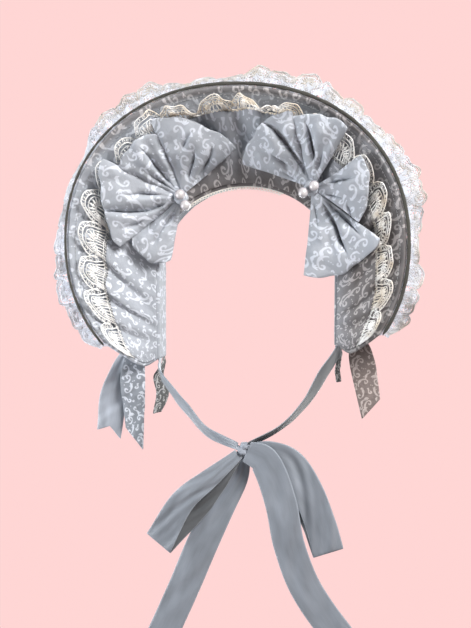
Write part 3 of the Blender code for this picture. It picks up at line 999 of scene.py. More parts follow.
PRINT = PrintCloth("scroll_print_cotton", (0.375, 0.397, 0.435, 1))
# Painted shade: the brim's and frill's print, on a slightly darker ground, toned darker and browner
# where shade falls.
PRINT_WITH_PAINTED_SHADE = PrintCloth("scroll_print_cotton_painted_shade", (0.345, 0.367, 0.405, 1), tone_and_painted_shade=0.85)
FINE_CHART = ScrollPrint(scale=0.80)
PRINT_TAIL = PrintCloth("scroll_print_cotton_tail", (0.235, 0.255, 0.285, 1), chart=FINE_CHART)
# Painted shade: a darker, browner copy of the print for the right print tail, which hangs in warm shade.
PRINT_SHADED = PrintCloth(
    "scroll_print_cotton_shaded", (0.20, 0.165, 0.155, 1), (0.47, 0.41, 0.39, 1), chart=FINE_CHART
)
SMALL_CHART = ScrollPrint(scale=0.62)
# Painted shade: a dark grey copy of the print for the inner tails, which hang in shade inside the brim's
# ends.
PRINT_DARK = PrintCloth(
    "scroll_print_cotton_dark", (0.115, 0.115, 0.115, 1), (0.46, 0.46, 0.46, 1), chart=SMALL_CHART
)
# Its near-black tone is partly the binding's own dark colour and partly painted shade along the rim.
BINDING = PlainCotton("dark_bias_binding", (0.062, 0.060, 0.052, 1))
SEWING_THREAD = PlainCotton("grey_sewing_thread", (0.42, 0.43, 0.44, 1), rib_pitch=0.5)
SATIN = SatinRibbon("slate_satin", (0.208, 0.231, 0.265, 1))
# Painted light: a paler copy of the slate satin for the left satin tail, where the light falls more
# brightly.
SATIN_PAINTED_LIGHT = SatinRibbon("slate_satin_painted_light", (0.320, 0.345, 0.390, 1))
IVORY_THREAD = LaceThread("ivory_lace_thread", (0.88, 0.87, 0.85, 1), (0.70, 0.61, 0.49, 1))
WHITE_THREAD = LaceThread("white_lace_thread", (0.74, 0.75, 0.78, 1), (0.60, 0.55, 0.48, 1), veil=0.35)
# Partly the satin's duller reverse and partly painted shade, for the inner sides of the chin loops.
SATIN_REVERSE_AND_SHADE = SatinRibbon("slate_satin_reverse_and_shade", (0.105, 0.112, 0.120, 1), rough=0.7)
# Painted shade: the right tie's faces are a little darker than the slate satin, and its reverse far
# darker, partly the satin's duller reverse and partly painted shade.
SATIN_TIE = SatinRibbon("slate_satin_tie", (0.195, 0.216, 0.248, 1), rough=0.6, relief=0.00001)
SATIN_TIE_REVERSE_AND_SHADE = SatinRibbon(
    "slate_satin_tie_reverse_and_shade", (0.105, 0.112, 0.120, 1), rough=0.7, relief=0.00001
)
SATIN_KNOT = SatinRibbon("slate_satin_knot", (0.200, 0.220, 0.255, 1), rough=0.6)
NET = NetGround("white_net", (0.70, 0.725, 0.775, 1))
PICOT_THREAD = LaceThread("picot_thread", (0.90, 0.86, 0.80, 1), (0.66, 0.55, 0.42, 1), rough=0.5)
PEARL = PearlLustre("pearl_lustre", (0.60, 0.58, 0.585, 1))


# The bonnet's form


class Side(NamedTuple):
    """One end of the horseshoe: its straight leg, and the rim's angle where it ends."""

    leg_length: float
    rim_end_angle: float


@dataclass(frozen=True)
class BonnetForm:
    """The shape that the brim, the frills and the bows share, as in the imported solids."""

    opening_half_width: float = 0.076
    arch_height: float = 0.066
    arch_share: float = 0.59
    rim_half_width: float = 0.139
    rim_half_height: float = 0.127
    rim_centre_x: float = -0.004
    rim_centre_z: float = -0.050
    rim_squaring: float = 0.93
    left: Side = Side(0.081, math.radians(129))
    right: Side = Side(0.068, math.radians(123))
    depth_top: float = 0.045
    depth_end: float = 0.028
    curl: float = 1.7
    thickness: float = 0.0028
    gap: float = 0.0004
    frill_waves: int = 20
    frill_rest: float = 0.0007
    wave_height: float = 0.0085
    bow_clearance: float = 0.0026

    def opening(self, t: np.ndarray) -> np.ndarray:
        """The edge of the face opening.

        Args:
            t: Along the horseshoe, from -1 at the left end over the top to 1.

        Returns:
            Points (x, z).
        """
        t = np.asarray(t, float)
        side, share = np.where(t >= 0, 1.0, -1.0), np.abs(t)
        angle = np.minimum(share / self.arch_share, 1) * math.pi / 2
        leg = np.where(t >= 0, self.right.leg_length, self.left.leg_length)
        down = np.maximum(share - self.arch_share, 0) / (1 - self.arch_share) * leg
        x = side * self.opening_half_width * np.sin(angle)
        z = self.arch_height * (np.cos(angle) - 1) - down
        return np.stack([x, z], -1)

    def rim(self, t: np.ndarray) -> np.ndarray:
        """The brim's outer edge.

        Args:
            t: Along the horseshoe, as for the opening.

        Returns:
            Points (x, z) that face the opening's.
        """
        t = np.asarray(t, float)
        side = np.where(t >= 0, 1.0, -1.0)
        end = np.where(t >= 0, self.right.rim_end_angle, self.left.rim_end_angle)
        across, up = np.sin(np.abs(t) * end), np.cos(np.abs(t) * end)
        x = self.rim_centre_x + side * self.rim_half_width * np.abs(across) ** self.rim_squaring
        z = self.rim_centre_z + self.rim_half_height * np.sign(up) * np.abs(up) ** self.rim_squaring
        return np.stack([x, z], -1)

    def outward(self, t: np.ndarray) -> np.ndarray:
        """Directions (x, y, z) that point straight out from the rim."""
        run = unit(self.rim(np.asarray(t) + 0.01) - self.rim(np.asarray(t) - 0.01))
        return square_to(run)

    def depth(self, t: np.ndarray, r: np.ndarray) -> np.ndarray:
        """The depth of the brim's face, below 0 towards the front.

        Args:
            t: Along the horseshoe.
            r: Across it, from 0 at the opening to 1 at the rim.

        Returns:
            The depth at each point.
        """
        share = np.minimum(1.0, np.abs(t)) ** 3
        depth = self.depth_top + (self.depth_end - self.depth_top) * share
        return -depth * np.maximum(0.0, r) ** self.curl

    def face(self, t: np.ndarray, r: np.ndarray, lift: np.ndarray | float = 0.0) -> np.ndarray:
        """Points over the brim's face.

        Args:
            t: Along the horseshoe, from -1 to 1.
            r: Across it, from 0 at the opening to 1 at the rim.
            lift: How far the points stand in front of it.

        Returns:
            Points (x, y, z).
        """
        t, r = np.broadcast_arrays(np.asarray(t, float), np.asarray(r, float))
        inner, outer = self.opening(t), self.rim(t)
        return at_depth(inner + (outer - inner) * r[..., None], self.depth(t, r) - lift)

    def under(self, x: np.ndarray, z: np.ndarray) -> tuple[np.ndarray, np.ndarray]:
        """Where the brim lies straight behind points.

        Args:
            x: The points as seen from the front.
            z: Their heights.

        Returns:
            The t along the brim and the r across it.
        """
        side = np.where(x >= 0, 1.0, -1.0)
        low, high = np.zeros_like(side), np.full_like(side, 1.3)
        for _ in range(40):  # halves the stretch that holds t each time
            middle = (low + high) / 2
            inner, outer = self.opening(side * middle), self.rim(side * middle)
            run = outer - inner
            across = side * (run[..., 0] * (z - inner[..., 1]) - run[..., 1] * (x - inner[..., 0]))
            low, high = np.where(across < 0, middle, low), np.where(across < 0, high, middle)
        inner, outer = self.opening(side * low), self.rim(side * low)
        run = outer - inner
        off = np.stack([x, z], -1) - inner
        return side * low, (off * run).sum(-1) / (run * run).sum(-1)

    def crest(self, r: np.ndarray) -> np.ndarray:
        """The height of the frill's waves, growing from the seam to the lace."""
        return self.wave_height * ease(r, -0.10, 0.78)

    def bow_rest(self, x: np.ndarray, z: np.ndarray) -> np.ndarray:
        """The depth of the surface over the frill's crests that the bows rest on."""
        t, r = self.under(x, z)
        return self.depth(t, r) - self.frill_rest - self.crest(np.maximum(r, 0)) - self.bow_clearance

    def seat_depth(self, x: float, z: float, radius: float) -> float:
        """How deep a ball lies where it just rests on the frill's crests.

        Args:
            x: The ball's middle as seen from the front.
            z: Its height.
            radius: Its radius.

        Returns:
            The depth of its middle.
        """
        depth = float(self.bow_rest(np.array(x), np.array(z))) - radius
        for ring in (0.35, 0.6, 0.8):
            angle = np.arange(8) * math.pi / 4
            rest = self.bow_rest(x + ring * radius * np.cos(angle), z + ring * radius * np.sin(angle))
            depth = min(depth, float(rest.min()) - radius * math.sqrt(1 - ring**2))
        return depth


FORM = BonnetForm()


# Brim and band


@dataclass(frozen=True)
class Brim:
    """The stiff horseshoe covered in print cloth, its bound rim and its row of stitching."""

    end_rounding: float = 0.06
    end_rounding_start: float = 0.85
    steps_along: int = 300
    steps_across: int = 40
    pucker: float = 0.00022
    pucker_waves: float = 46.0
    flat: tuple[float, float] = (0.290, 0.245)
    area: float = 0.0415
    piping_steps: int = 420
    piping_radius: float = 0.0016
    piping_stand: float = 0.0042
    piping_set_back: float = 0.0004
    piping_left: float = 0.66
    piping_sway: float = 0.12
    stitch_pitch: float = 0.0034
    stitch_length: float = 0.0022
    stitch_radius: float = 0.00022
    stitch_stand: float = 0.00012
    stitch_bulge: float = 0.0002
    stitch_row: float = 0.945

    def face_grid(self, along: np.ndarray, across: np.ndarray, lift: float = 0.0) -> np.ndarray:
        """The brim's face as a grid, with its ends rounded.

        Args:
            along: The places t of its rows.
            across: The places r of its columns.
            lift: How far the grid stands in front of the face.

        Returns:
            Points (x, y, z).
        """
        t, r = np.meshgrid(along, across, indexing="ij")
        rounding = self.end_rounding * ease(np.abs(t), self.end_rounding_start, 1)
        return FORM.face(t * (1 + rounding * np.sin(math.pi * r)), r, lift)

    def build_wall(self) -> None:
        """The covered wall, a little puckered where the cloth is drawn over its edges."""
        along = np.linspace(-1, 1, self.steps_along + 1)
        across = np.linspace(0, 1, self.steps_across + 1)
        grid = self.face_grid(along, across)
        t, r = np.meshgrid(along, across, indexing="ij")
        near_edge = ease(r, 0.6, 1.0) + ease(1 - r, 0.8, 1.0)
        relief = self.pucker * near_edge * (sway(t * self.pucker_waves, 1.0) - 1)
        out = grid_normals(grid, False)
        facing = np.sign(out[..., 1:2].mean()) * -1
        grid = grid + out * facing * (relief - FORM.thickness / 2)[..., None]
        shape = cloth_shape(grid, FORM.thickness, turned_chart(grid[..., [0, 2]], 8, (0.004, 0.002)))
        brim = lay("brim", shape, PRINT_WITH_PAINTED_SHADE, Slot.PRINT, ["brim"])

    def build_piping(self) -> None:
        """The dark binding rolled along the rim, thinner on the left and at its ends."""
        t = np.linspace(-1, 1, self.piping_steps)
        out = FORM.outward(t)
        path = at_depth(FORM.rim(t), FORM.depth(t, np.ones_like(t)) + self.piping_set_back)
        path = path + out * self.piping_stand
        ends = np.sqrt(np.clip(np.minimum(t + 1, 1 - t) * 60, 0.02, 1))
        fullness = self.piping_left + self.piping_sway * sway(t * 90, 2.0)
        fullness = fullness + (0.98 - self.piping_left) * ease(t, -0.35, 0.15)
        shape = cord_shape(path, out, self.piping_radius * fullness * ends, 14)
        lay("piping", shape, BINDING, Slot.PRINT, ["piping"])

    def build_stitching(self) -> None:
        """A row of short stitches just inside the rim."""
        stitches = []
        line = FORM.face(np.linspace(-0.97, 0.97, 900), self.stitch_row)
        length = run_length(line)
        bend = np.sin(np.linspace(0, math.pi, 5))
        for start in np.arange(self.stitch_pitch, length[-1] - self.stitch_pitch, self.stitch_pitch):
            path = at_length(np.linspace(start, start + self.stitch_length, 5), length, line)
            path[:, 1] -= self.stitch_stand + self.stitch_bulge * bend
            stitches.append(cord_shape(path, np.tile(FORWARD, (5, 1)), self.stitch_radius, 5))
        lay("brim_stitching", joined(stitches), SEWING_THREAD, Slot.PRINT)

    def build(self) -> None:
        """The wall, its binding and its stitching."""
        self.build_wall()
        self.build_piping()
        self.build_stitching()


@dataclass(frozen=True)
class HeadBand:
    """The band over the crown of the head and the picot braid at its front edge."""

    width: float = 0.030
    length: float = 0.372
    thickness: float = 0.0024
    steps_along: int = 200
    steps_across: int = 16
    seam_relief: float = 0.00018
    picot_left_end: float = -0.30
    picot_right_end: float = 0.165
    picot_pitch: float = 0.0026
    picot_drop: float = 0.0027
    picot_radius: float = 0.00042

    def build_band(self) -> None:
        """The band, soft at its edges and drawn in a little by its seams."""
        t = np.linspace(-1, 1, self.steps_along + 1)
        across = np.linspace(-1, 1, self.steps_across + 1)
        front = FORM.thickness + FORM.gap
        edge = FORM.opening(t)
        out = square_to(unit(np.gradient(edge, axis=0)))
        depth = np.linspace(front, front + self.width, self.steps_across + 1)
        middle = at_depth(edge) + out * self.thickness / 2
        grid = np.repeat(middle[:, None], len(depth), axis=1)
        grid[..., 1] = depth[None]
        relief = self.seam_relief * sway(t * 60, 3.0)[:, None] * np.abs(across)[None] ** 3
        grid = grid + out[:, None] * relief[..., None]
        chart = turned_chart(flat_chart(run_length(middle), depth), 0, (0.01, 0.013))
        shape = cloth_shape(grid, self.thickness, chart)
        band = lay("head_band", shape, PRINT, Slot.PRINT, ["head_band"])

    def build_picots(self) -> None:
        """A narrow braid with a row of small thread loops, inside the top of the opening."""
        t = np.linspace(self.picot_left_end, self.picot_right_end, 200)
        edge = FORM.opening(t)
        inward = at_depth(unit(np.array([0.0, -FORM.arch_height]) - edge))
        start = at_depth(edge, FORM.thickness / 2) + inward * (FORM.gap + self.picot_radius)
        length, parts = run_length(start), []
        for row in (0, 1):
            cord = start + inward * 0.0004 * row
            parts.append(cord_shape(cord, np.tile(FORWARD, (len(t), 1)), self.picot_radius, 6))
        turn = np.linspace(0, math.pi, 9)
        for place in np.arange(self.picot_pitch, length[-1] - self.picot_pitch, self.picot_pitch):
            along = place + np.cos(turn) * self.picot_pitch * 0.42
            drop = (0.0006 + np.sin(turn) * (self.picot_drop - 0.0009))[:, None]
            path = at_length(along, length, start) + at_length(along, length, inward) * drop
            parts.append(cord_shape(path, np.tile(FORWARD, (9, 1)), self.picot_radius * 0.85, 6))
        lay("picot_edging", joined(parts), PICOT_THREAD, Slot.PICOT, ["picot_edging"])

    def build(self) -> None:
        """The band and its braid."""
        self.build_band()
        self.build_picots()


# Lace


class Strand(NamedTuple):
    """One thread of a lace motif: places along (in repeats) and across (0 to 1), and its radius."""

    along: np.ndarray
    across: np.ndarray
    radius: np.ndarray | float
    closed: bool = False


@dataclass(frozen=True)
class ScallopMotif:
    """One repeat of scalloped lace, as a worker would draft it on a pricking."""

    cord: float = 0.00055
    thread: float = 0.00040
    seam: float = 0.11
    heart: float = 0.34
    rings: int = 11
    ring_along: float = 0.036
    ring_across: float = 0.058
    spokes: int = 9

    def arc(self, size: float, count: int) -> tuple[np.ndarray, np.ndarray]:
        """Points (along, across) of a half ellipse about the scallop's heart."""
        turn = np.linspace(0, math.pi, count)
        return 0.52 * size * np.cos(turn), self.heart + (1 - self.heart) * size * np.sin(turn) ** 0.8

    def strands(self) -> Iterator[Strand]:
        """Drafts the repeat.

        Returns:
            One thread at a time.
        """
        for size, radius in ((0.99, self.cord), (0.77, self.cord), (0.60, self.thread)):
            yield Strand(*self.arc(size, 23), radius)
        turn = np.arange(6) * TURN / 6
        for along, across in zip(*self.arc(0.88, self.rings)):
            ring_across = across + self.ring_across * np.sin(turn)
            yield Strand(along + self.ring_along * np.cos(turn), ring_across, self.thread, True)
        leaf = np.array([0.5, 1.5, 1.6, 0.6]) * self.cord
        tips, roots = self.arc(0.56, self.spokes), self.arc(0.16, self.spokes)
        for spoke in range(self.spokes):
            run = np.linspace(0, 1, 4)
            along = roots[0][spoke] + (tips[0][spoke] - roots[0][spoke]) * run
            yield Strand(along, roots[1][spoke] + (tips[1][spoke] - roots[1][spoke]) * run, leaf)
        yield Strand(*self.arc(0.18, 7), self.cord)
        yield Strand(*self.arc(0.36, 11), self.thread)
        span, seam = np.linspace(-0.5, 0.5, 15), self.seam
        yield Strand(span, np.full(15, seam), self.thread)
        zigzag = np.linspace(-0.5, 0.5, 27)
        yield Strand(zigzag, np.where(np.arange(27) % 2 == 1, 0.0, seam), self.cord)
        for side in np.linspace(-0.45, 0.45, 12):
            yield Strand(np.array([side, side * 0.85]), np.array([seam, self.heart + 0.08]), self.cord)


@dataclass(frozen=True)
class Frill:
    """The gathered print frill on the brim's face, with scalloped lace along its edge.

    Across it, 0 is its seam at the opening, 1 its edge and 2 the edge of the lace. At the top of
    the bonnet it is wider, and its lace stands out towards the front.
    """

    end: float = 0.995
    end_rounding: float = 0.055
    inner: float = 0.03
    outer: float = 0.60
    top_outer: float = 0.77
    lace_width: float = 0.25
    left_lace_width: float = 0.30
    top_tilt: float = 62.0
    tilt_sway: float = 26.0
    edge_sway: float = 0.022
    brim_width: float = 0.072
    depth: float = 0.043
    lace_depth: float = 0.020
    steps_along: int = 760
    steps_across: int = 23
    cloth: float = 0.0008
    centre_lift: float = 0.00065
    wave_sway: float = 0.5
    height_sway: float = 0.20
    sharpness: float = 1.15
    fold_over: float = 0.34
    fold_sway: float = 0.3
    lace_calm: float = 0.45
    lean: float = 9.0
    lean_sway: float = 0.8
    motif: ScallopMotif = ScallopMotif()

    def top(self, t: np.ndarray) -> np.ndarray:
        """1 at the top of the bonnet and 0 down its sides."""
        return ease(t, -0.32, -0.18) * ease(-t, -0.28, -0.14)

    def phase(self, t: np.ndarray, r: np.ndarray) -> np.ndarray:
        """How far the waves have come, with the folds slanting down both sides.

        Args:
            t: Along the horseshoe.
            r: Across the brim.

        Returns:
            The waves' phase, in radians.
        """
        side = ease(-t, 0.5, 0.7) * ease(1 + t, 0.02, 0.2)
        side = side - ease(t, 0.5, 0.7) * ease(1 - t, 0.02, 0.2)
        slant = self.lean * side + self.lean_sway * sway(t * 9, 2.0)
        even = math.pi * FORM.frill_waves * t
        return even + self.wave_sway * sway(t * 19, 4.0) + slant * (0.75 - r)

    def surface(self, t: np.ndarray, across: np.ndarray) -> np.ndarray:
        """The frill's middle: waves with sharp valleys that grow and fold over at its edge.

        Args:
            t: Along the horseshoe.
            across: From 0 at the seam over 1 at the edge to 2 at the edge of the lace.

        Returns:
            Points (x, y, z).
        """
        t, across = np.broadcast_arrays(np.asarray(t, float), np.asarray(across, float))
        edge = self.outer + (self.top_outer - self.outer) * self.top(t)
        edge = edge + self.edge_sway * sway(t * 23, 8.0)
        narrow = ease(t, 0.52, 0.66) * ease(-t, -0.84, -0.74)
        wide = ease(-t, -0.1, 0.3) + ease(t, 0.15, 0.3) * (1 - narrow)
        beyond = self.lace_width + (self.left_lace_width - self.lace_width) * wide
        beyond = beyond * (1 - 0.10 * self.top(t)) * np.maximum(across - 1, 0)
        r = self.inner + (edge - self.inner) * np.minimum(across, 1)
        phase = self.phase(t, r + beyond)
        sharp = 2 - self.sharpness * ease(r + beyond, 0.15, 0.5)
        wave = np.abs(np.sin(phase / 2)) ** sharp * ease(1 - np.abs(t), 0.0, 0.05)
        height = FORM.crest(r + beyond) * (0.98 + self.height_sway * sway(t * 31, 5.0))
        wave = 1 - (1 - wave) * (1 - self.lace_calm * ease(across, 1.0, 1.35))
        shift = self.fold_over * ease(r + beyond, 0.2, 0.8)
        shift = shift * (1 + self.fold_sway * sway(t * 41, 6.0))
        shift = shift * (1 - self.lace_calm * ease(across, 1.0, 1.4))
        shift = shift * np.sin(2 * phase) / (math.pi * FORM.frill_waves)
        tilt = np.radians(self.top_tilt + self.tilt_sway * sway(t * 34, 3.0)) * self.top(t)
        lift = FORM.frill_rest + self.centre_lift + height * wave
        lift = lift + beyond * self.brim_width * np.sin(tilt)
        reach = r + beyond * np.cos(tilt)
        rounding = self.end_rounding * ease(np.abs(t), 0.85, 1)
        rounded = 1 + rounding * np.sin(math.pi * np.minimum(reach, 1))
        return FORM.face(np.clip(t + shift, -self.end, self.end) * rounded, reach, lift)

    def build_frill(self) -> None:
        """The print strip."""
        t = np.linspace(-self.end, self.end, self.steps_along + 1)
        across = np.linspace(0, 1, self.steps_across + 1)
        grid = self.surface(t[:, None], across[None])
        length = run_length(self.surface(t, np.full_like(t, 0.75)))
        chart = turned_chart(flat_chart(length, across * self.depth), 0, (0.011, 0.007))
        shape = cloth_shape(grid, self.cloth, chart)
        frill = lay("frill", shape, PRINT_WITH_PAINTED_SHADE, Slot.PRINT, ["frill"])

    def build_lace(self) -> None:
        """The lace, thread by thread, with one scallop on each wave."""
        fine = np.linspace(-self.end + 0.002, self.end - 0.002, 6000)
        turns = np.maximum.accumulate(self.phase(fine, np.full_like(fine, 0.75)) / TURN)
        first, last = math.floor(turns[0] + 0.2), math.ceil(turns[-1] - 0.2)
        edge = run_length(self.surface(fine, np.full_like(fine, 1.5)))

        def place(along: np.ndarray, across: np.ndarray) -> np.ndarray:
            """The points on the frill's waves, from places on the strip."""
            return self.surface(np.interp(along + first, turns, fine), 1.0 + across)

        shape = worked(self.motif, last - first, place)
        lace = lay("frill_lace", shape, IVORY_THREAD, Slot.COTTON_LACE, ["frill_lace"])

    def build(self) -> None:
        """The strip and its lace."""
        self.build_frill()
        self.build_lace()


def worked(
    motif: ScallopMotif, repeats: int, place: Callable[[np.ndarray, np.ndarray], np.ndarray]
) -> Shape:
    """A length of lace, worked thread by thread on a surface.

    Args:
        motif: One repeat of the lace.
        repeats: How many repeats it has.
        place: The function from (repeats along, share across) to points.

    Returns:
        All threads as one shape.
    """
    strands = list(motif.strands())
    along = np.concatenate([strand.along for strand in strands])
    across = np.concatenate([strand.across for strand in strands])
    starts = np.arange(repeats)[:, None] + 0.5
    every_along = np.clip(along[None] + starts, 0, repeats)
    every_across = np.broadcast_to(across[None], every_along.shape)
    points = place(every_along, every_across)
    ahead = place(np.clip(every_along + 0.02, 0, repeats), every_across)
    behind = place(np.clip(every_along - 0.02, 0, repeats), every_across)
    over = place(every_along, every_across + 0.02) - place(every_along, every_across - 0.02)
    up = unit(np.cross(ahead - behind, over))
    parts = []
    for repeat in range(repeats):
        first = 0
        for strand in strands:
            span = slice(first, first + len(strand.along))
            path, lift = points[repeat, span], up[repeat, span]
            parts.append(cord_shape(path, lift, strand.radius, 4, strand.closed))
            first = span.stop
    return joined(parts)


class Reach(NamedTuple):
    """How far the back lace stands out past the rim at one place along it."""

    place: float
    reach: float


@dataclass(frozen=True)
class BackLace:
    """The wide white lace ruffle sewn behind the rim: net with a corded scalloped border."""

    waves: float = 16.0
    small_waves: float = 43.0
    fold_over: float = 0.6
    inner: float = 0.84
    wave_height: float = 0.0105
    reach_sway: float = 0.22
    scallop: float = 0.003
    clearance: float = 0.0022
    set_back: float = 0.0010
    cloth: float = 0.0005
    net_depth: float = 0.0145
    net_end: float = 1.66
    flat: tuple[float, float] = (0.024, 0.66)
    border: tuple[float, float] = (0.80, 1.22)
    lace_pitch: float = 0.025
    reaches: tuple[Reach, ...] = (
        Reach(-1.00, 0.005), Reach(-0.92, 0.013), Reach(-0.77, 0.014), Reach(-0.66, 0.008),
        Reach(-0.46, 0.004), Reach(-0.36, 0.015), Reach(-0.20, 0.014), Reach(-0.12, 0.005),
        Reach(-0.02, 0.005), Reach(0.05, 0.012), Reach(0.22, 0.014), Reach(0.36, 0.009),
        Reach(0.48, 0.012), Reach(0.56, 0.018), Reach(0.63, 0.015), Reach(0.68, 0.007),
        Reach(0.78, 0.007), Reach(0.86, 0.014), Reach(0.94, 0.008), Reach(1.00, 0.005),
    )
    motif: ScallopMotif = ScallopMotif(heart=0.45, rings=13, spokes=9)

    def surface(self, t: np.ndarray, place: np.ndarray) -> np.ndarray:
        """The lace's middle, which folds over itself towards its free edge.

        Args:
            t: Along the horseshoe.
            place: From 0 at the seam behind the brim over 1 at the rim to 2 at the free edge.

        Returns:
            Points (x, y, z).
        """
        t, place = np.broadcast_arrays(np.asarray(t, float), np.asarray(place, float))
        swing = self.fold_over * ease(place, 0.9, 2.0) * np.sin(2 * math.pi * self.waves * t)
        t = np.clip(t + swing / (math.pi * self.waves), -1, 1)
        near = np.minimum(place, 1.0)
        r = self.inner + (1 - self.inner) * near
        lean = FORM.face(t, r + 0.01) - FORM.face(t, r - 0.01)
        along = FORM.face(t + 0.01, r) - FORM.face(t - 0.01, r)
        normal = unit(np.cross(along, lean))
        behind = FORM.thickness + FORM.gap + self.clearance * near + 0.0005
        seam = FORM.face(t, r) - normal * behind[..., None]
        phase = math.pi * self.waves * t + 0.6 * sway(t * 29, 9.0)
        wave = 0.5 - 0.5 * np.cos(phase)
        small = sway(t * self.small_waves, 7.0)
        reach = np.interp(t, *zip(*self.reaches)) * (1 + self.reach_sway * small)
        reach = reach + self.scallop * wave
        far = ease(place, 0.85, 2.05) * 1.02
        out = FORM.outward(t) * (reach * (far + 0.1 * np.sin(math.pi * far)))[..., None]
        swell = 0.9 * wave + 0.3 * (small + 1) * 0.5 + 0.1
        points = seam + out
        points[..., 1] += self.set_back * far + self.wave_height * far * swell
        return points

    def build(self) -> None:
        """The net ground and its border."""
        t = np.linspace(-1, 1, 561)
        places = np.linspace(0, self.net_end, 24)
        grid = self.surface(t[:, None], places[None])
        length = run_length(self.surface(t, np.full_like(t, 1.5)))
        shape = cloth_shape(grid, self.cloth, flat_chart(length, places * self.net_depth))
        net = lay("back_lace", shape, NET, Slot.NET_LACE, ["back_lace"])
        fine = np.linspace(-0.995, 0.995, 6000)
        run = run_length(self.surface(fine, np.full_like(fine, 1.6)))
        repeats = round(run[-1] / self.lace_pitch)

        def place(along: np.ndarray, across: np.ndarray) -> np.ndarray:
            """The points on the ruffle, from places on the border."""
            where = np.interp(along / repeats * run[-1], run, fine)
            return self.surface(where, self.border[0] + self.border[1] * across)

        threads = worked(self.motif, repeats, place)
        border = lay("back_lace_border", threads, WHITE_THREAD, Slot.NET_LACE)


# Bows


class Crease(NamedTuple):
    """A sharp fold in a loop: its place across it from -1 to 1, its depth, and the share of the
    loop that it reaches to, then how much it slants, where it starts and to which side it laps."""

    across: float
    depth: float
    reach: float
    slant: float = 0.0
    start: float = 0.0
    lap: int = 1


class Bead(NamedTuple):
    """A bead on a knot: how far off the knot's middle it sits, as seen from the front."""

    name: str
    x: float
    z: float


@dataclass(frozen=True)
class BowLoop:
    """One puffed loop: cloth folded over on itself and gathered at the knot.

    Angles are in degrees from the right, anticlockwise as seen from the front, and start is half
    its width at the knot.
    """

    name: str
    angle: float
    spread: float
    length: float
    puff: float
    creases: tuple[Crease, ...]
    start: float = 0.0031
    pleats: int = 2
    start_reach: float = 0.0067
    start_lift: float = 0.0036
    start_half_thickness: float = 0.0024
    lift_end: float = 0.35
    full_at: float = 0.55
    fold_start: float = 0.7
    fold_thinning: float = 0.35
    corner_set_back: float = 0.10
    squaring: float = 0.6
    pleat_height: float = 0.0030
    rounding: float = 0.045
    side_drop: float = 0.78
    end_narrowing: float = 0.03
    end_sway: float = 0.030
    rumple: float = 0.0009
    crease_width: float = 0.0008
    crease_drop: float = 1.75
    crease_lap: float = 3.2
    crease_hollow: float = 0.35
    crease_reach: float = 5.0
    gathers: int = 4
    gather_height: float = 0.0002
    cloth: float = 0.0008
    extra_spread: float = 2.6
    rows: int = 104
    columns: int = 97

    def grid(self, knot: np.ndarray, seed: float) -> tuple[np.ndarray, np.ndarray]:
        """The loop's middle surface and its place on the flat cloth.

        Args:
            knot: The knot's place (x, z).
            seed: Sets this loop's own small folds apart from the others'.

        Returns:
            Points in rows round the loop and columns across it, and their chart.
        """
        turn = math.radians(self.angle)
        along = np.array([math.cos(turn), math.sin(turn)])
        side_way = np.array([-along[1], along[0]])
        angle = TURN * (np.arange(self.rows) + 0.5) / self.rows
        share = (0.5 - 0.5 * np.cos(angle))[:, None]
        side = (np.sign(np.sin(angle)) * np.abs(np.sin(angle)) ** self.squaring)[:, None]
        front = np.maximum(0.0, side)
        v = np.linspace(-1, 1, self.columns)[None]
        u = self.start_reach + (self.length - self.start_reach) * share
        fan = math.tan(math.radians(self.spread + self.extra_spread))
        half_width = self.start + (u - self.start_reach) * fan
        half_width = half_width * (1 - self.end_narrowing * ease(share, 0.7, 1))
        w = v * half_width
        corner = self.corner_set_back * v * v + self.rounding * np.abs(v) ** 7 * ease(share, 0.5, 1)
        bulge = u * (1 - corner + self.end_sway * sway(v * 3, seed) * ease(share, 0.5, 1))
        x = knot[0] + along[0] * bulge + side_way[0] * w
        z = knot[1] + along[1] * bulge + side_way[1] * w
        puff = (self.puff / 2 - self.start_half_thickness) * ease(share, 0, self.full_at)
        puff = puff * (1 - self.fold_thinning * ease(share, self.fold_start, 1))
        half = self.start_half_thickness + puff
        lift = self.start_lift * (1 - ease(share, 0, self.lift_end))
        pleat = 0.5 + 0.5 * np.cos(math.pi * self.pleats * v)
        height = lift + half * (1 + side) + self.pleat_height * share * pleat * front
        height = height - self.side_drop * 2 * half * np.abs(v) ** 4 * front
        fold = (
            0.6 * np.cos(math.pi * (2.6 * v + 0.9 * share) + seed)
            + 0.4 * np.cos(math.pi * (4.3 * v - 1.2 * share) + 2.3 * seed)
            + 0.5 * sway(v * 4 + share * 7, seed)
        )
        slant = np.sin((w + 0.6 * u) * 330 + seed) + np.sin((0.5 * w - u) * 250 + 2 * seed)
        rumple = self.rumple * (fold * ease(share, 0.0, 0.3) + 0.8 * slant * ease(share, 0.15, 0.5))
        rumple = rumple * (1 - 0.4 * ease(share, 0.6, 1))
        gathers = np.cos(math.pi * self.gathers * v + 0.6 * sway(share * 5, seed)) - 1
        gather = self.gather_height * (1 - ease(share, 0.05, 0.42)) * gathers
        height = height + front * (gather + rumple)
        for crease in self.creases:
            middle = crease.across + crease.slant * (share - 0.5)
            middle = middle + 0.05 * sway(share * 5, seed + crease.across)
            off = (v - middle) * half_width / self.crease_width * crease.lap
            fade = 1 - ease(share, crease.reach - 0.3, crease.reach)
            fade = fade * ease(share, crease.start, crease.start + 0.22)
            steep = np.where(off > 0, off / self.crease_lap, -off) ** 1.3
            hollow = self.crease_hollow * np.exp(-((off / self.crease_reach) ** 2))
            valley = self.crease_drop * np.exp(-steep) + hollow
            height = height - front * crease.depth * fade * valley
        depth = FORM.bow_rest(x, z) - np.maximum(height, 0.0006 + 0.0004 * (1 + side))
        length = np.where(angle[:, None] < math.pi, u, 2 * self.length - u)
        return np.stack([x, depth, z], -1), np.stack([w, length + 0 * w], -1)


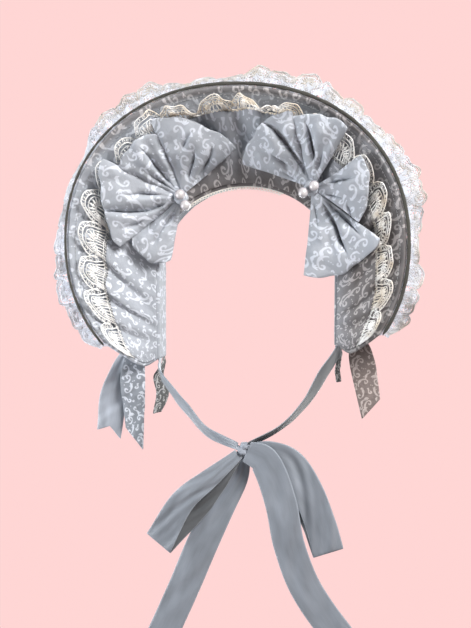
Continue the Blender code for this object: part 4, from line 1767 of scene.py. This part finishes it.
@dataclass(frozen=True)
class Bow:
    """A bow of print cloth: its knot, its loops and its beads."""

    side: str
    x: float
    z: float
    knot_turn: float
    loops: tuple[BowLoop, ...]
    beads: tuple[Bead, ...]
    knot_radius: float = 0.0070
    bead_radius: float = 0.0043
    bead_gap: float = 0.0003
    print_turn: float = 20.0

    def centre(self) -> np.ndarray:
        """The middle of the knot, which rests on the frill's crests."""
        return np.array([self.x, FORM.seat_depth(self.x, self.z, self.knot_radius), self.z])

    def build_knot(self) -> None:
        """The wrapped knot, with the pleats of its band running round it."""
        rings, around = 40, 56
        polar, turn = polar_steps(rings), round_steps(around)
        pleats = 0.035 * (np.cos(9 * polar + 0.5 * np.sin(2 * turn)) - 1)
        waist = -0.10 * np.abs(np.cos(polar)) ** 6
        radius = self.knot_radius * (1.0 + pleats + waist + 0.012 * sway(turn * 3 + polar * 2, 8.0))
        ball = ball_shape(radius, rings, around)
        shape = set_knot(ball, (0.96, 1.0), self.knot_turn, self.centre())
        shape = shape._replace(chart=shape.chart + 0.012)
        lay(f"knot_{self.side}", shape, PRINT, Slot.PRINT, [f"knot_{self.side}"])

    def build_bead(self, bead: Bead) -> None:
        """Builds one pearl bead with the dimples of its drilled hole.

        Args:
            bead: The bead's name and place.
        """
        reach = self.knot_radius + self.bead_radius + self.bead_gap
        forward = math.sqrt(reach**2 - bead.x**2 - bead.z**2)
        rings, around = 30, 36
        polar = polar_steps(rings)
        hole = np.exp(-((polar / 0.20) ** 2)) + np.exp(-(((math.pi - polar) / 0.20) ** 2))
        radius = self.bead_radius * (1 - 0.16 * hole) * np.ones((1, around))
        shape = ball_shape(radius, rings, around)
        middle = self.centre() + np.array([bead.x, -forward, bead.z])
        shape = shape._replace(points=shape.points + middle)
        lay(bead.name, shape, PEARL, Slot.PEARL, [bead.name])

    def build_loop(self, loop: BowLoop, number: int) -> None:
        """Builds one loop, and measures the strip of cloth that it was folded from.

        Args:
            loop: The loop.
            number: Its number in the bow, which turns its print and its small folds.
        """
        grid, chart = loop.grid(np.array([self.x, self.z]), number * 1.3 + len(self.side))
        chart = turned_chart(chart, self.print_turn + 47 * number, (0.013 * number, 0.019 * number))
        shape = cloth_shape(grid, loop.cloth, chart, ring=True)
        piece = lay(loop.name, shape, PRINT, Slot.PRINT, [loop.name])
        cut = cut_of(grid, ring=True)
        flat, rests_on = (cut.width, cut.length), ["frill", f"knot_{self.side}"]
        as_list(rests_on)

    def build(self) -> None:
        """The loops, the knot and the beads."""
        for number, loop in enumerate(self.loops):
            self.build_loop(loop, number)
        self.build_knot()
        for bead in self.beads:
            self.build_bead(bead)


LEFT_BOW = Bow(
    side="left", x=-0.0537, z=-0.0100, knot_turn=35,
    loops=(
        BowLoop("loop_left_upper_inner", 73, 28, 0.062, 0.015, (
            Crease(-0.20, 0.0052, 0.70, 0.2, 0.12),
            Crease(-0.68, 0.0055, 0.85, 0.3, 0.1, -1),
            Crease(0.35, 0.0030, 0.95, -0.9, 0.5),
        )),
        BowLoop("loop_left_upper_outer", 130, 22, 0.054, 0.013, (
            Crease(-0.1, 0.0050, 0.9, -0.3, 0.1, -1),
            Crease(0.5, 0.0035, 0.6, 0.4, 0.1),
        )),
        BowLoop("loop_left_outer", 186, 29, 0.062, 0.013, (
            Crease(0.42, 0.0062, 1.25, -0.5, 0.1, -1),
            Crease(-0.30, 0.0040, 0.7, 0.3, 0.15),
            Crease(0.80, 0.0035, 0.9, -0.3, 0.45),
        )),
        BowLoop(
            "loop_left_lower", 239, 15, 0.060, 0.009, (Crease(0.0, 0.0015, 0.7),), start=0.0022, pleats=1
        ),
    ),
    beads=(Bead("bead_left_upper", 0.0014, 0.0018), Bead("bead_left_lower", 0.0052, -0.0071)),
)
RIGHT_BOW = Bow(
    side="right", x=0.0574, z=-0.0032, knot_turn=8, print_turn=-30,
    loops=(
        BowLoop("loop_right_upper_inner", 131, 24, 0.063, 0.015, (
            Crease(-0.42, 0.0066, 1.1, 0.4, 0.05, -1),
            Crease(0.25, 0.0040, 0.75, 0.5, 0.25),
            Crease(0.70, 0.0030, 0.5),
        )),
        BowLoop("loop_right_upper_outer", 79, 20, 0.058, 0.014, (
            Crease(0.25, 0.0066, 0.95, 0.7, 0.25, -1),
            Crease(-0.45, 0.0036, 0.6, 0.2, 0.1),
        )),
        BowLoop("loop_right_outer", -3, 27, 0.049, 0.013, (
            Crease(0.46, 0.0056, 0.8, -0.1, 0.15),
            Crease(-0.50, 0.0050, 1.25, -1.6, 0.55, -1),
            Crease(-0.55, 0.0035, 0.6, 0.3, 0.1),
        )),
        BowLoop("loop_right_lower", -66, 24, 0.074, 0.014, (
            Crease(0.30, 0.0075, 0.88, -0.5, 0.08, -1),
            Crease(0.78, 0.0050, 0.8, -0.2, 0.1),
            Crease(-0.5, 0.0030, 0.5, 0.3),
        )),
    ),
    beads=(Bead("bead_right_outer", 0.0034, 0.0012), Bead("bead_right_inner", -0.0058, -0.0043)),
)




# Tails and ribbons


class Row(NamedTuple):
    """One row of a strip: its middle, its width and how far it turns from facing the front."""

    x: float
    y: float
    z: float
    width: float
    turn: float


def between(rows: Sequence[tuple], place: float) -> np.ndarray:
    """A smooth curve through a table's rows.

    Args:
        rows: The table, its place in the columns x, y and z, or x and z if it has no y.
        place: A share of the curve's length.

    Returns:
        Every column's value there.
    """
    table = np.array(rows, float)
    columns = [rows[0]._fields.index(name) for name in "xyz" if name in rows[0]._fields]
    marks = run_length(table[:, columns])
    at = place * marks[-1]
    i = max(k for k in range(len(rows) - 1) if k == 0 or marks[k] <= at)

    def slope(k: int) -> np.ndarray:
        """How fast the columns change at a row."""
        before, after = max(0, k - 1), min(len(rows) - 1, k + 1)
        return (table[after] - table[before]) / (marks[after] - marks[before])

    run = marks[i + 1] - marks[i]
    f = (at - marks[i]) / run
    rise = f * f * (3 - 2 * f)
    bend = run * f * (1 - f) * ((1 - f) * slope(i) - f * slope(i + 1))
    return table[i] * (1 - rise) + table[i + 1] * rise + bend


@dataclass(frozen=True)
class Strip:
    """A hanging tail or a tie: a strip of cloth along its rows, its end cut to a slant.

    The cut says how far the right edge, the middle and the left edge run on past the last row.
    """

    name: str
    rows: tuple[Row, ...]
    finish: Finish
    slot: Slot
    cut: tuple[float, float, float] = (0, 0, 0)
    level_start: bool = True
    cloth: float = 0.0007
    cup: float = 0.0006
    pucker: float = 0.0009
    ripple: float = 0.0010
    flat_width: float = 0.025
    steps: int = 110
    steps_across: int = 18
    rests_on: tuple[str, ...] = ()
    reverse: Finish | None = None
    print_turn: float = 90.0
    seed: float = 1.0

    def build(self) -> None:
        """The strip; the size that it was cut to is worked out."""
        shares = np.linspace(0, 1, self.steps + 1)
        samples = np.array([between(self.rows, share) for share in shares])
        centre, width, turn = samples[:, :3], samples[:, 3], np.radians(samples[:, 4])
        tangent = unit(np.gradient(centre, axis=0))
        if self.level_start:
            lean = ease(shares, 0.0, 0.06)[:, None]
            tangent = unit(tangent * lean + np.array([0, 0, -1.0]) * (1 - lean))
        flat = unit(np.cross(tangent, [0, 1.0, 0]))
        edge_on = np.cross(flat, tangent)
        across = flat * np.cos(turn)[:, None] + edge_on * np.sin(turn)[:, None]
        out = unit(np.cross(tangent, across))
        place = np.linspace(0.5, -0.5, self.steps_across + 1)
        grid = centre[:, None] + across[:, None] * width[:, None, None] * place[None, :, None]
        length = run_length(centre)
        share = (length / length[-1])[:, None]
        v = place[None] * 2
        free = ease(share, 0.0, 0.15) * ease(width[:, None] / self.flat_width, 0.1, 0.8)
        squeezed = np.clip(1 - width / self.flat_width, 0, 1)[:, None]
        relief = self.cup * (1 - v * v) * free
        relief = relief + self.ripple * free * sway(share * 9 + v * 1.3, self.seed)
        relief = relief + self.pucker * squeezed * np.cos(math.pi * 3 * v) * ease(share, 0.02, 0.1)
        run_on = np.interp(place, [-0.5, 0, 0.5], self.cut[::-1])[None]
        run_on = run_on * ease(share, 0.72, 1.0) ** 1.5
        grid = grid + out[:, None] * relief[..., None] + tangent[:, None] * run_on[..., None]
        chart = np.stack([length[:, None] + run_on, v * self.flat_width / 2 + 0 * share], -1)
        if isinstance(self.finish, PrintCloth):
            chart = turned_chart(chart, self.print_turn, (0.009 * self.seed, 0.005 * self.seed))
        shape = cloth_shape(grid, self.cloth, chart)
        piece = lay(self.name, shape, self.finish, self.slot, [self.name], self.reverse)
        mean = float((width[1:] + width[:-1]) @ np.diff(length) / (2 * length[-1]))
        flat = (max(mean, LEAST_CUT), float(length[-1]) + max(self.cut) / 2)
        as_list(self.rests_on)


@dataclass(frozen=True)
class HangingTails:
    """The loose tails at the ends of the brim and of the head band."""

    wall: float = FORM.opening_half_width + 0.0012
    tail_seam: float = 0.003
    ribbon: float = 0.0010

    def behind_brim(self, x: float, z: float, width: float) -> Row:
        """The top row of a tail sewn behind the brim, lying along the slope of its back.

        Args:
            x: The middle of the row as seen from the front.
            z: Its height.
            width: The tail's width there.

        Returns:
            The row.
        """
        places = [(along * width / 2, drop) for along in (-1, 0, 1) for drop in (0, -self.tail_seam)]
        depths = {}
        for place in places:
            t, r = FORM.under(np.array(x + place[0]), np.array(z + place[1]))
            depths[place] = float(FORM.depth(t, r))
        slope = (depths[places[-2]] - depths[places[0]]) / width
        depth = max(depths[place] - slope * place[0] for place in places)
        clear = (FORM.thickness + self.ribbon / 2 + FORM.gap) * math.hypot(1, slope)
        return Row(x, depth + clear, z, width, math.degrees(math.atan(slope)))

    def behind_tail(self, row: Row, shift: float, width: float) -> Row:
        """The top row of a tail sewn on right behind another one.

        Args:
            row: The other tail's top row.
            shift: How far this one lies to its right.
            width: The tail's width there.

        Returns:
            The row.
        """
        slope = math.tan(math.radians(row.turn))
        clear = (self.ribbon + FORM.gap) * math.hypot(1, slope)
        return Row(row.x + shift, row.y + shift * slope + clear, row.z, width, row.turn)

    def strips(self) -> Iterator[Strip]:
        """Lists the hanging tails.

        Returns:
            One tail at a time, each after those that it rests on.
        """
        print_top = self.behind_brim(-0.0960, -0.1420, 0.015)
        left_end = -FORM.arch_height - FORM.left.leg_length
        right_end = -FORM.arch_height - FORM.right.leg_length
        yield Strip(
            "tail_print_left",
            (
                print_top,
                Row(-0.0985, 0.0000, -0.1640, 0.021, 6),
                Row(-0.0985, 0.0040, -0.1880, 0.019, -6),
                Row(-0.0985, 0.0050, -0.2080, 0.015, 4),
            ),
            PRINT_TAIL, Slot.PRINT, (0.019, 0.009, 0), rests_on=("brim",), flat_width=0.021, seed=2.0,
        )
        yield Strip(
            "tail_satin_left",
            (
                self.behind_tail(print_top, -0.0050, 0.012),
                Row(-0.1100, 0.0065, -0.1580, 0.017, 16),
                Row(-0.1175, 0.0080, -0.1820, 0.023, 8),
                Row(-0.1215, 0.0100, -0.2100, 0.021, 4),
            ),
            SATIN_PAINTED_LIGHT, Slot.SATIN, (0.007, -0.003, 0.002), rests_on=("tail_print_left",), seed=3.0,
        )
        yield Strip(
            "tail_inner_left",
            (
                Row(-self.wall, 0.0290, left_end - FORM.gap, 0.006, 88),
                Row(-self.wall, 0.0292, left_end - 0.006, 0.007, 80),
                Row(-0.0820, 0.0310, -0.1650, 0.010, 40),
                Row(-0.0790, 0.0330, -0.1790, 0.011, 20),
                Row(-0.0835, 0.0330, -0.1960, 0.007, 30),
            ),
            PRINT_DARK, Slot.PRINT, (0, 0.001, 0.003), rests_on=("head_band",), flat_width=0.014,
            seed=4.0,
        )
        yield Strip(
            "tail_print_right",
            (
                self.behind_brim(0.0930, -0.1240, 0.014),
                Row(0.0980, 0.0010, -0.1460, 0.021, -8),
                Row(0.1015, 0.0050, -0.1660, 0.020, 6),
                Row(0.1045, 0.0060, -0.1820, 0.018, -4),
            ),
            PRINT_SHADED, Slot.PRINT, (0, 0.007, 0.014), rests_on=("brim",), flat_width=0.021, seed=5.0,
        )
        yield Strip(
            "tail_inner_right",
            (
                Row(self.wall, 0.0290, right_end - FORM.gap, 0.006, 88),
                Row(self.wall, 0.0292, right_end - 0.006, 0.008, 74),
                Row(0.0755, 0.0310, -0.1580, 0.007, 60),
                Row(0.0765, 0.0310, -0.1680, 0.005, 60),
            ),
            PRINT_DARK, Slot.PRINT, rests_on=("head_band",), flat_width=0.014, seed=6.0,
        )

    def build(self) -> None:
        """Builds the tails."""
        for strip in self.strips():
            strip.build()


class ChinRow(NamedTuple):
    """One row of a chin loop: its middle line, and how its two layers stand apart and slip."""

    x: float
    z: float
    half_width: float
    front: float
    back: float
    slip: float


@dataclass(frozen=True)
class ChinBow:
    """The satin ties, and the bow that they are knotted in under the chin."""

    knot: tuple[float, float, float] = (0.0080, -0.0650, -0.2160)
    radius: float = 0.0070
    gap: float = 0.0007
    tuck: float = 0.0016
    wall: float = FORM.opening_half_width + 0.0012
    knot_turn: float = 72.0
    half_width: float = 0.0125
    squaring: float = 0.6
    cup: float = 0.0008
    pucker: float = 0.0007
    fold: float = 0.0020
    steps: int = 120
    steps_across: int = 18
    cloth: float = 0.0006

    def off_knot(self, angle: float, back: float, gap: float) -> np.ndarray:
        """A point just off the knot.

        Args:
            angle: Its direction as seen from the front, in degrees.
            back: How far it is set back from the knot's middle.
            gap: How far it stays off the knot.

        Returns:
            The point (x, y, z).
        """
        reach = math.sqrt(self.radius**2 - back**2) + gap
        turn = math.radians(angle)
        return np.array(self.knot) + np.array([reach * math.cos(turn), back, reach * math.sin(turn)])

    def off_row(self, angle: float, back: float, width: float, turn: float) -> Row:
        """The row of a ribbon that leaves the knot."""
        return Row(*self.off_knot(angle, back, -self.tuck), width, turn)

    def strips(self) -> Iterator[Strip]:
        """Lists the two ties and the two long ends.

        Returns:
            One ribbon at a time.
        """
        left_end = -FORM.arch_height - FORM.left.leg_length - FORM.gap * 1.5
        right_end = -FORM.arch_height - FORM.right.leg_length - FORM.gap * 1.5
        yield Strip(
            "tie_left",
            (
                Row(-self.wall, 0.0140, left_end, 0.020, -87),
                Row(-self.wall, 0.0125, left_end - 0.0060, 0.022, -80),
                Row(-0.0745, 0.0050, -0.1620, 0.025, -70),
                Row(-0.0625, -0.0080, -0.1746, 0.025, -64),
                Row(-0.0472, -0.0200, -0.1886, 0.025, -62),
                Row(-0.0257, -0.0400, -0.2055, 0.022, -60),
                self.off_row(168, 0.0035, 0.009, -45),
            ),
            SATIN, Slot.SATIN, rests_on=("head_band", "chin_knot"), seed=7.0, ripple=0.0002,
        )
        yield Strip(
            "tie_right",
            (
                Row(self.wall, 0.0140, right_end, 0.020, 87),
                Row(self.wall, 0.0120, right_end - 0.0060, 0.022, 80),
                Row(0.0662, -0.0120, -0.1600, 0.025, 74),
                Row(0.0530, -0.0300, -0.1820, 0.024, 80),
                Row(0.0356, -0.0500, -0.2000, 0.020, 80),
                self.off_row(42, 0.0045, 0.008, 66),
            ),
            # Painted shade: the right tie takes the darker tie satin and its much darker reverse.
            SATIN_TIE, Slot.SATIN, rests_on=("head_band", "chin_knot"), seed=8.0, ripple=0.0002,
            reverse=SATIN_TIE_REVERSE_AND_SHADE,
        )
        yield Strip(
            "chin_tail_left",
            (
                self.off_row(-100, 0.0045, 0.011, 0),
                Row(0.0030, -0.0590, -0.2400, 0.015, 4),
                Row(-0.0105, -0.0590, -0.2620, 0.022, -4),
                Row(-0.0265, -0.0600, -0.2940, 0.025, 6),
                Row(-0.0420, -0.0580, -0.3300, 0.025, 2),
                Row(-0.0640, -0.0560, -0.3780, 0.025, 0),
            ),
            SATIN, Slot.SATIN, (0.011, 0.0055, 0), False, rests_on=("chin_knot",), seed=9.0,
        )
        yield Strip(
            "chin_tail_right",
            (
                self.off_row(-22, -0.0046, 0.017, 0),
                Row(0.0255, -0.0705, -0.2245, 0.024, -4),
                Row(0.0385, -0.0710, -0.2560, 0.025, 4),
                Row(0.0455, -0.0690, -0.2920, 0.025, -4),
                Row(0.0600, -0.0660, -0.3300, 0.025, 2),
                Row(0.0910, -0.0620, -0.3740, 0.025, 0),
            ),
            SATIN, Slot.SATIN, (0, 0.0055, 0.011), False, rests_on=("chin_knot",), seed=10.0,
        )

    def build_loop(
        self, name: str, origin: np.ndarray, rows: tuple[ChinRow, ...], seed: float
    ) -> None:
        """Builds one loop: ribbon led out, folded over and led back behind itself.

        Args:
            name: The loop's name.
            origin: Where it leaves the knot.
            rows: Its rows, from the knot to the fold.
            seed: Sets its own soft folds apart from the other loop's.
        """
        angles = TURN * (np.arange(self.steps) + 0.5) / self.steps
        v = np.linspace(-1, 1, self.steps_across + 1)
        grid = []
        for angle in angles:
            share = 0.5 - 0.5 * math.cos(angle)
            side = math.copysign(abs(math.sin(angle)) ** self.squaring, math.sin(angle))
            row = ChinRow(*between(rows, share))
            run = between(rows, min(1, share + 0.01)) - between(rows, max(0, share - 0.01))
            across = square_to(unit(run[:2]))
            depth = -row.front * side if side > 0 else -row.back * side
            middle = origin + np.array([row.x, depth, row.z]) + across * row.slip * side
            line = middle + across * (row.half_width * v)[:, None]
            squeezed = 1 - row.half_width / self.half_width
            cup = self.cup * (1 - v * v) * max(side, 0) * (1 - squeezed)
            cup = cup + self.pucker * squeezed * np.cos(3 * math.pi * v)
            fold = self.fold * sway(v * 2.2 + share * 6, seed) * float(ease(share, 0.1, 0.4))
            line[:, 1] -= cup * min(1, share * 5) + fold * abs(side)
            grid.append(line)
        grid = np.array(grid)
        chart = flat_chart(run_length(grid[:, self.steps_across // 2]), v * self.half_width)
        shape = cloth_shape(grid, self.cloth, chart, ring=True)
        # The loop's inner side takes the dark reverse finish: partly the satin's duller reverse, partly
        # painted shade inside the loop.
        piece = lay(name, shape, SATIN, Slot.SATIN, [name], SATIN_REVERSE_AND_SHADE)

    def build_knot(self) -> None:
        """The knot: ribbon wrapped over itself in soft pleats."""
        rings, around = 44, 60
        polar, turn = polar_steps(rings), round_steps(around)
        pleats = 0.11 * (np.cos(7 * polar + 1.3 * np.sin(turn + 0.8)) - 1)
        overlap = 0.09 * np.tanh(6 * np.sin(polar - 1.35 + 0.5 * np.cos(turn)))
        radius = self.radius * (1.0 + pleats + overlap * 0.6)
        ball = ball_shape(radius, rings, around)
        shape = set_knot(ball, (0.98, 0.74), self.knot_turn, np.array(self.knot))
        lay("chin_knot", shape, SATIN_KNOT, Slot.SATIN, ["chin_knot"])

    def build(self) -> None:
        """The ties, the knot, the loops and the long ends."""
        for strip in self.strips():
            strip.build()
        self.build_knot()
        self.build_loop(
            "chin_loop_left", self.off_knot(-136, -0.0030, 0.0),
            (
                ChinRow(0.0008, 0.0008, 0.0042, 0.0016, 0.0016, 0.0),
                ChinRow(-0.0200, -0.0215, 0.0078, 0.0060, 0.0016, -0.0036),
                ChinRow(-0.0400, -0.0420, 0.0098, 0.0080, 0.0020, -0.0056),
                ChinRow(-0.0650, -0.0735, 0.0123, 0.0040, 0.0022, -0.0006),
            ),
            11.0,
        )
        self.build_loop(
            "chin_loop_right", self.off_knot(2, 0.0014, -0.0003),
            (
                ChinRow(-0.0012, 0.0, 0.0048, 0.0014, 0.0016, 0.0),
                ChinRow(0.0140, -0.0036, 0.0095, 0.0014, 0.0050, 0.0010),
                ChinRow(0.0300, -0.0130, 0.0120, 0.0016, 0.0080, 0.0020),
                ChinRow(0.0440, -0.0370, 0.0125, 0.0020, 0.0090, 0.0030),
                ChinRow(0.0545, -0.0610, 0.0125, 0.0022, 0.0080, 0.0020),
                ChinRow(0.0620, -0.0830, 0.0125, 0.0020, 0.0050, 0.0010),
            ),
            12.0,
        )


# Studio


class Lamp(NamedTuple):
    """A soft square light."""

    name: str
    place: tuple[float, float, float]
    size: float
    power: float
    tint: tuple[float, float, float]


@dataclass(frozen=True)
class Studio:
    """The camera, the pale surroundings and the soft lights."""

    azimuth: float = 9.0
    elevation: float = 2.0
    distance: float = 1.30
    target: tuple[float, float, float] = (-0.009, 0.0, -0.109)
    lens: float = 87.66
    sensor: float = 36.0
    floor: float = -0.62
    reach: float = 6.0
    wall_height: float = 6.0
    bend: float = 1.5
    steps_around: int = 64
    world_light: float = 0.27
    world_tone: Colour = (0.96, 0.97, 1.0, 1)
    tone: Colour = (1.0, 0.672, 0.662, 1)
    lamps: tuple[Lamp, ...] = (
        Lamp("key", (1.27, -1.20, 1.22), 0.9, 85.0, (1.0, 0.985, 0.97)),
        Lamp("fill", (-1.5, -1.3, 0.2), 1.2, 5.0, (0.93, 0.96, 1.0)),
        Lamp("low_rim", (-1.45, -0.30, -0.60), 1.0, 34.0, (0.95, 0.97, 1.0)),
        Lamp("back", (0.0, 1.40, -0.05), 1.4, 26.0, (0.94, 0.97, 1.0)),
        Lamp("rim", (-1.4, 0.5, 0.7), 1.0, 26.0, (0.96, 0.98, 1.0)),
        Lamp("bounce", (0.7, -0.9, -0.9), 0.8, 2.5, (1.0, 0.74, 0.64)),
    )

    def build_camera(self) -> None:
        """The camera at the photograph's angle."""
        data = bpy.data.cameras.new("camera")
        data.lens = self.lens
        data.sensor_width = self.sensor
        camera = bpy.data.objects.new("camera", data)
        bpy.context.scene.collection.objects.link(camera)
        a, e = math.radians(self.azimuth), math.radians(self.elevation)
        back = Vector((math.sin(a) * math.cos(e), -math.cos(a) * math.cos(e), math.sin(e)))
        camera.location = Vector(self.target) + back * self.distance
        camera.rotation_euler = (-back).to_track_quat("-Z", "Y").to_euler()
        bpy.context.scene.camera = camera

    def build_surroundings(self) -> None:
        """A wide pale floor that curves up into a wall all round."""
        turn = np.linspace(0, math.pi / 2, 12)
        curve = self.reach - self.bend + self.bend * np.sin(turn)
        radius = np.concatenate([[0.02], curve, [self.reach]])
        height = np.concatenate([[0.0], self.bend - self.bend * np.cos(turn), [self.wall_height]])
        around = np.linspace(0, TURN, self.steps_around + 1)
        across, deep = radius[:, None] * np.cos(around), radius[:, None] * np.sin(around)
        grid = at_depth(np.stack(np.broadcast_arrays(across, height[:, None] + self.floor), -1), deep)
        index = np.arange(across.size).reshape(across.shape)
        faces = np.stack([index[:-1, :-1], index[:-1, 1:], index[1:, 1:], index[1:, :-1]], -1)
        mesh = bpy.data.meshes.new("backdrop")
        mesh.from_pydata(grid.reshape(-1, 3).tolist(), [], faces.reshape(-1, 4).tolist())
        mesh.shade_smooth()
        mesh.materials.append(StudioSurface("pale_backdrop", self.tone).material())
        backdrop = bpy.data.objects.new("backdrop", mesh)
        bpy.context.scene.collection.objects.link(backdrop)
        backdrop.visible_diffuse = False
        backdrop.visible_glossy = False
        backdrop.visible_shadow = False

    def build_lights(self) -> None:
        """The soft lamps and an even surrounding light."""
        for lamp in self.lamps:
            data = bpy.data.lights.new(lamp.name, "AREA")
            data.size = lamp.size
            data.energy = lamp.power
            data.color = lamp.tint
            light = bpy.data.objects.new(lamp.name, data)
            bpy.context.scene.collection.objects.link(light)
            light.location = lamp.place
            ahead = Vector(self.target) - Vector(lamp.place)
            light.rotation_euler = ahead.to_track_quat("-Z", "Y").to_euler()
        world = bpy.data.worlds.new("soft_surrounding")
        world.use_nodes = True
        background = world.node_tree.nodes["Background"]
        background.inputs[0].default_value = self.world_tone
        background.inputs[1].default_value = self.world_light
        bpy.context.scene.world = world

    def build(self) -> None:
        """The camera, the surroundings and the lights."""
        self.build_camera()
        self.build_surroundings()
        self.build_lights()
        bpy.context.scene.view_settings.view_transform = "Standard"


def main() -> None:
    """Builds the studio and every piece of the bonnet, in order."""
    logging.basicConfig(level=logging.INFO, format="%(name)s %(message)s")
    cloth = (Brim(), HeadBand(), Frill(), BackLace(), LEFT_BOW, RIGHT_BOW, HangingTails(), ChinBow())
    for part in (Studio(), *cloth):
        part.build()
        LOG.info("%s is done", type(part).__name__)


if __name__ == "__main__":
    main()
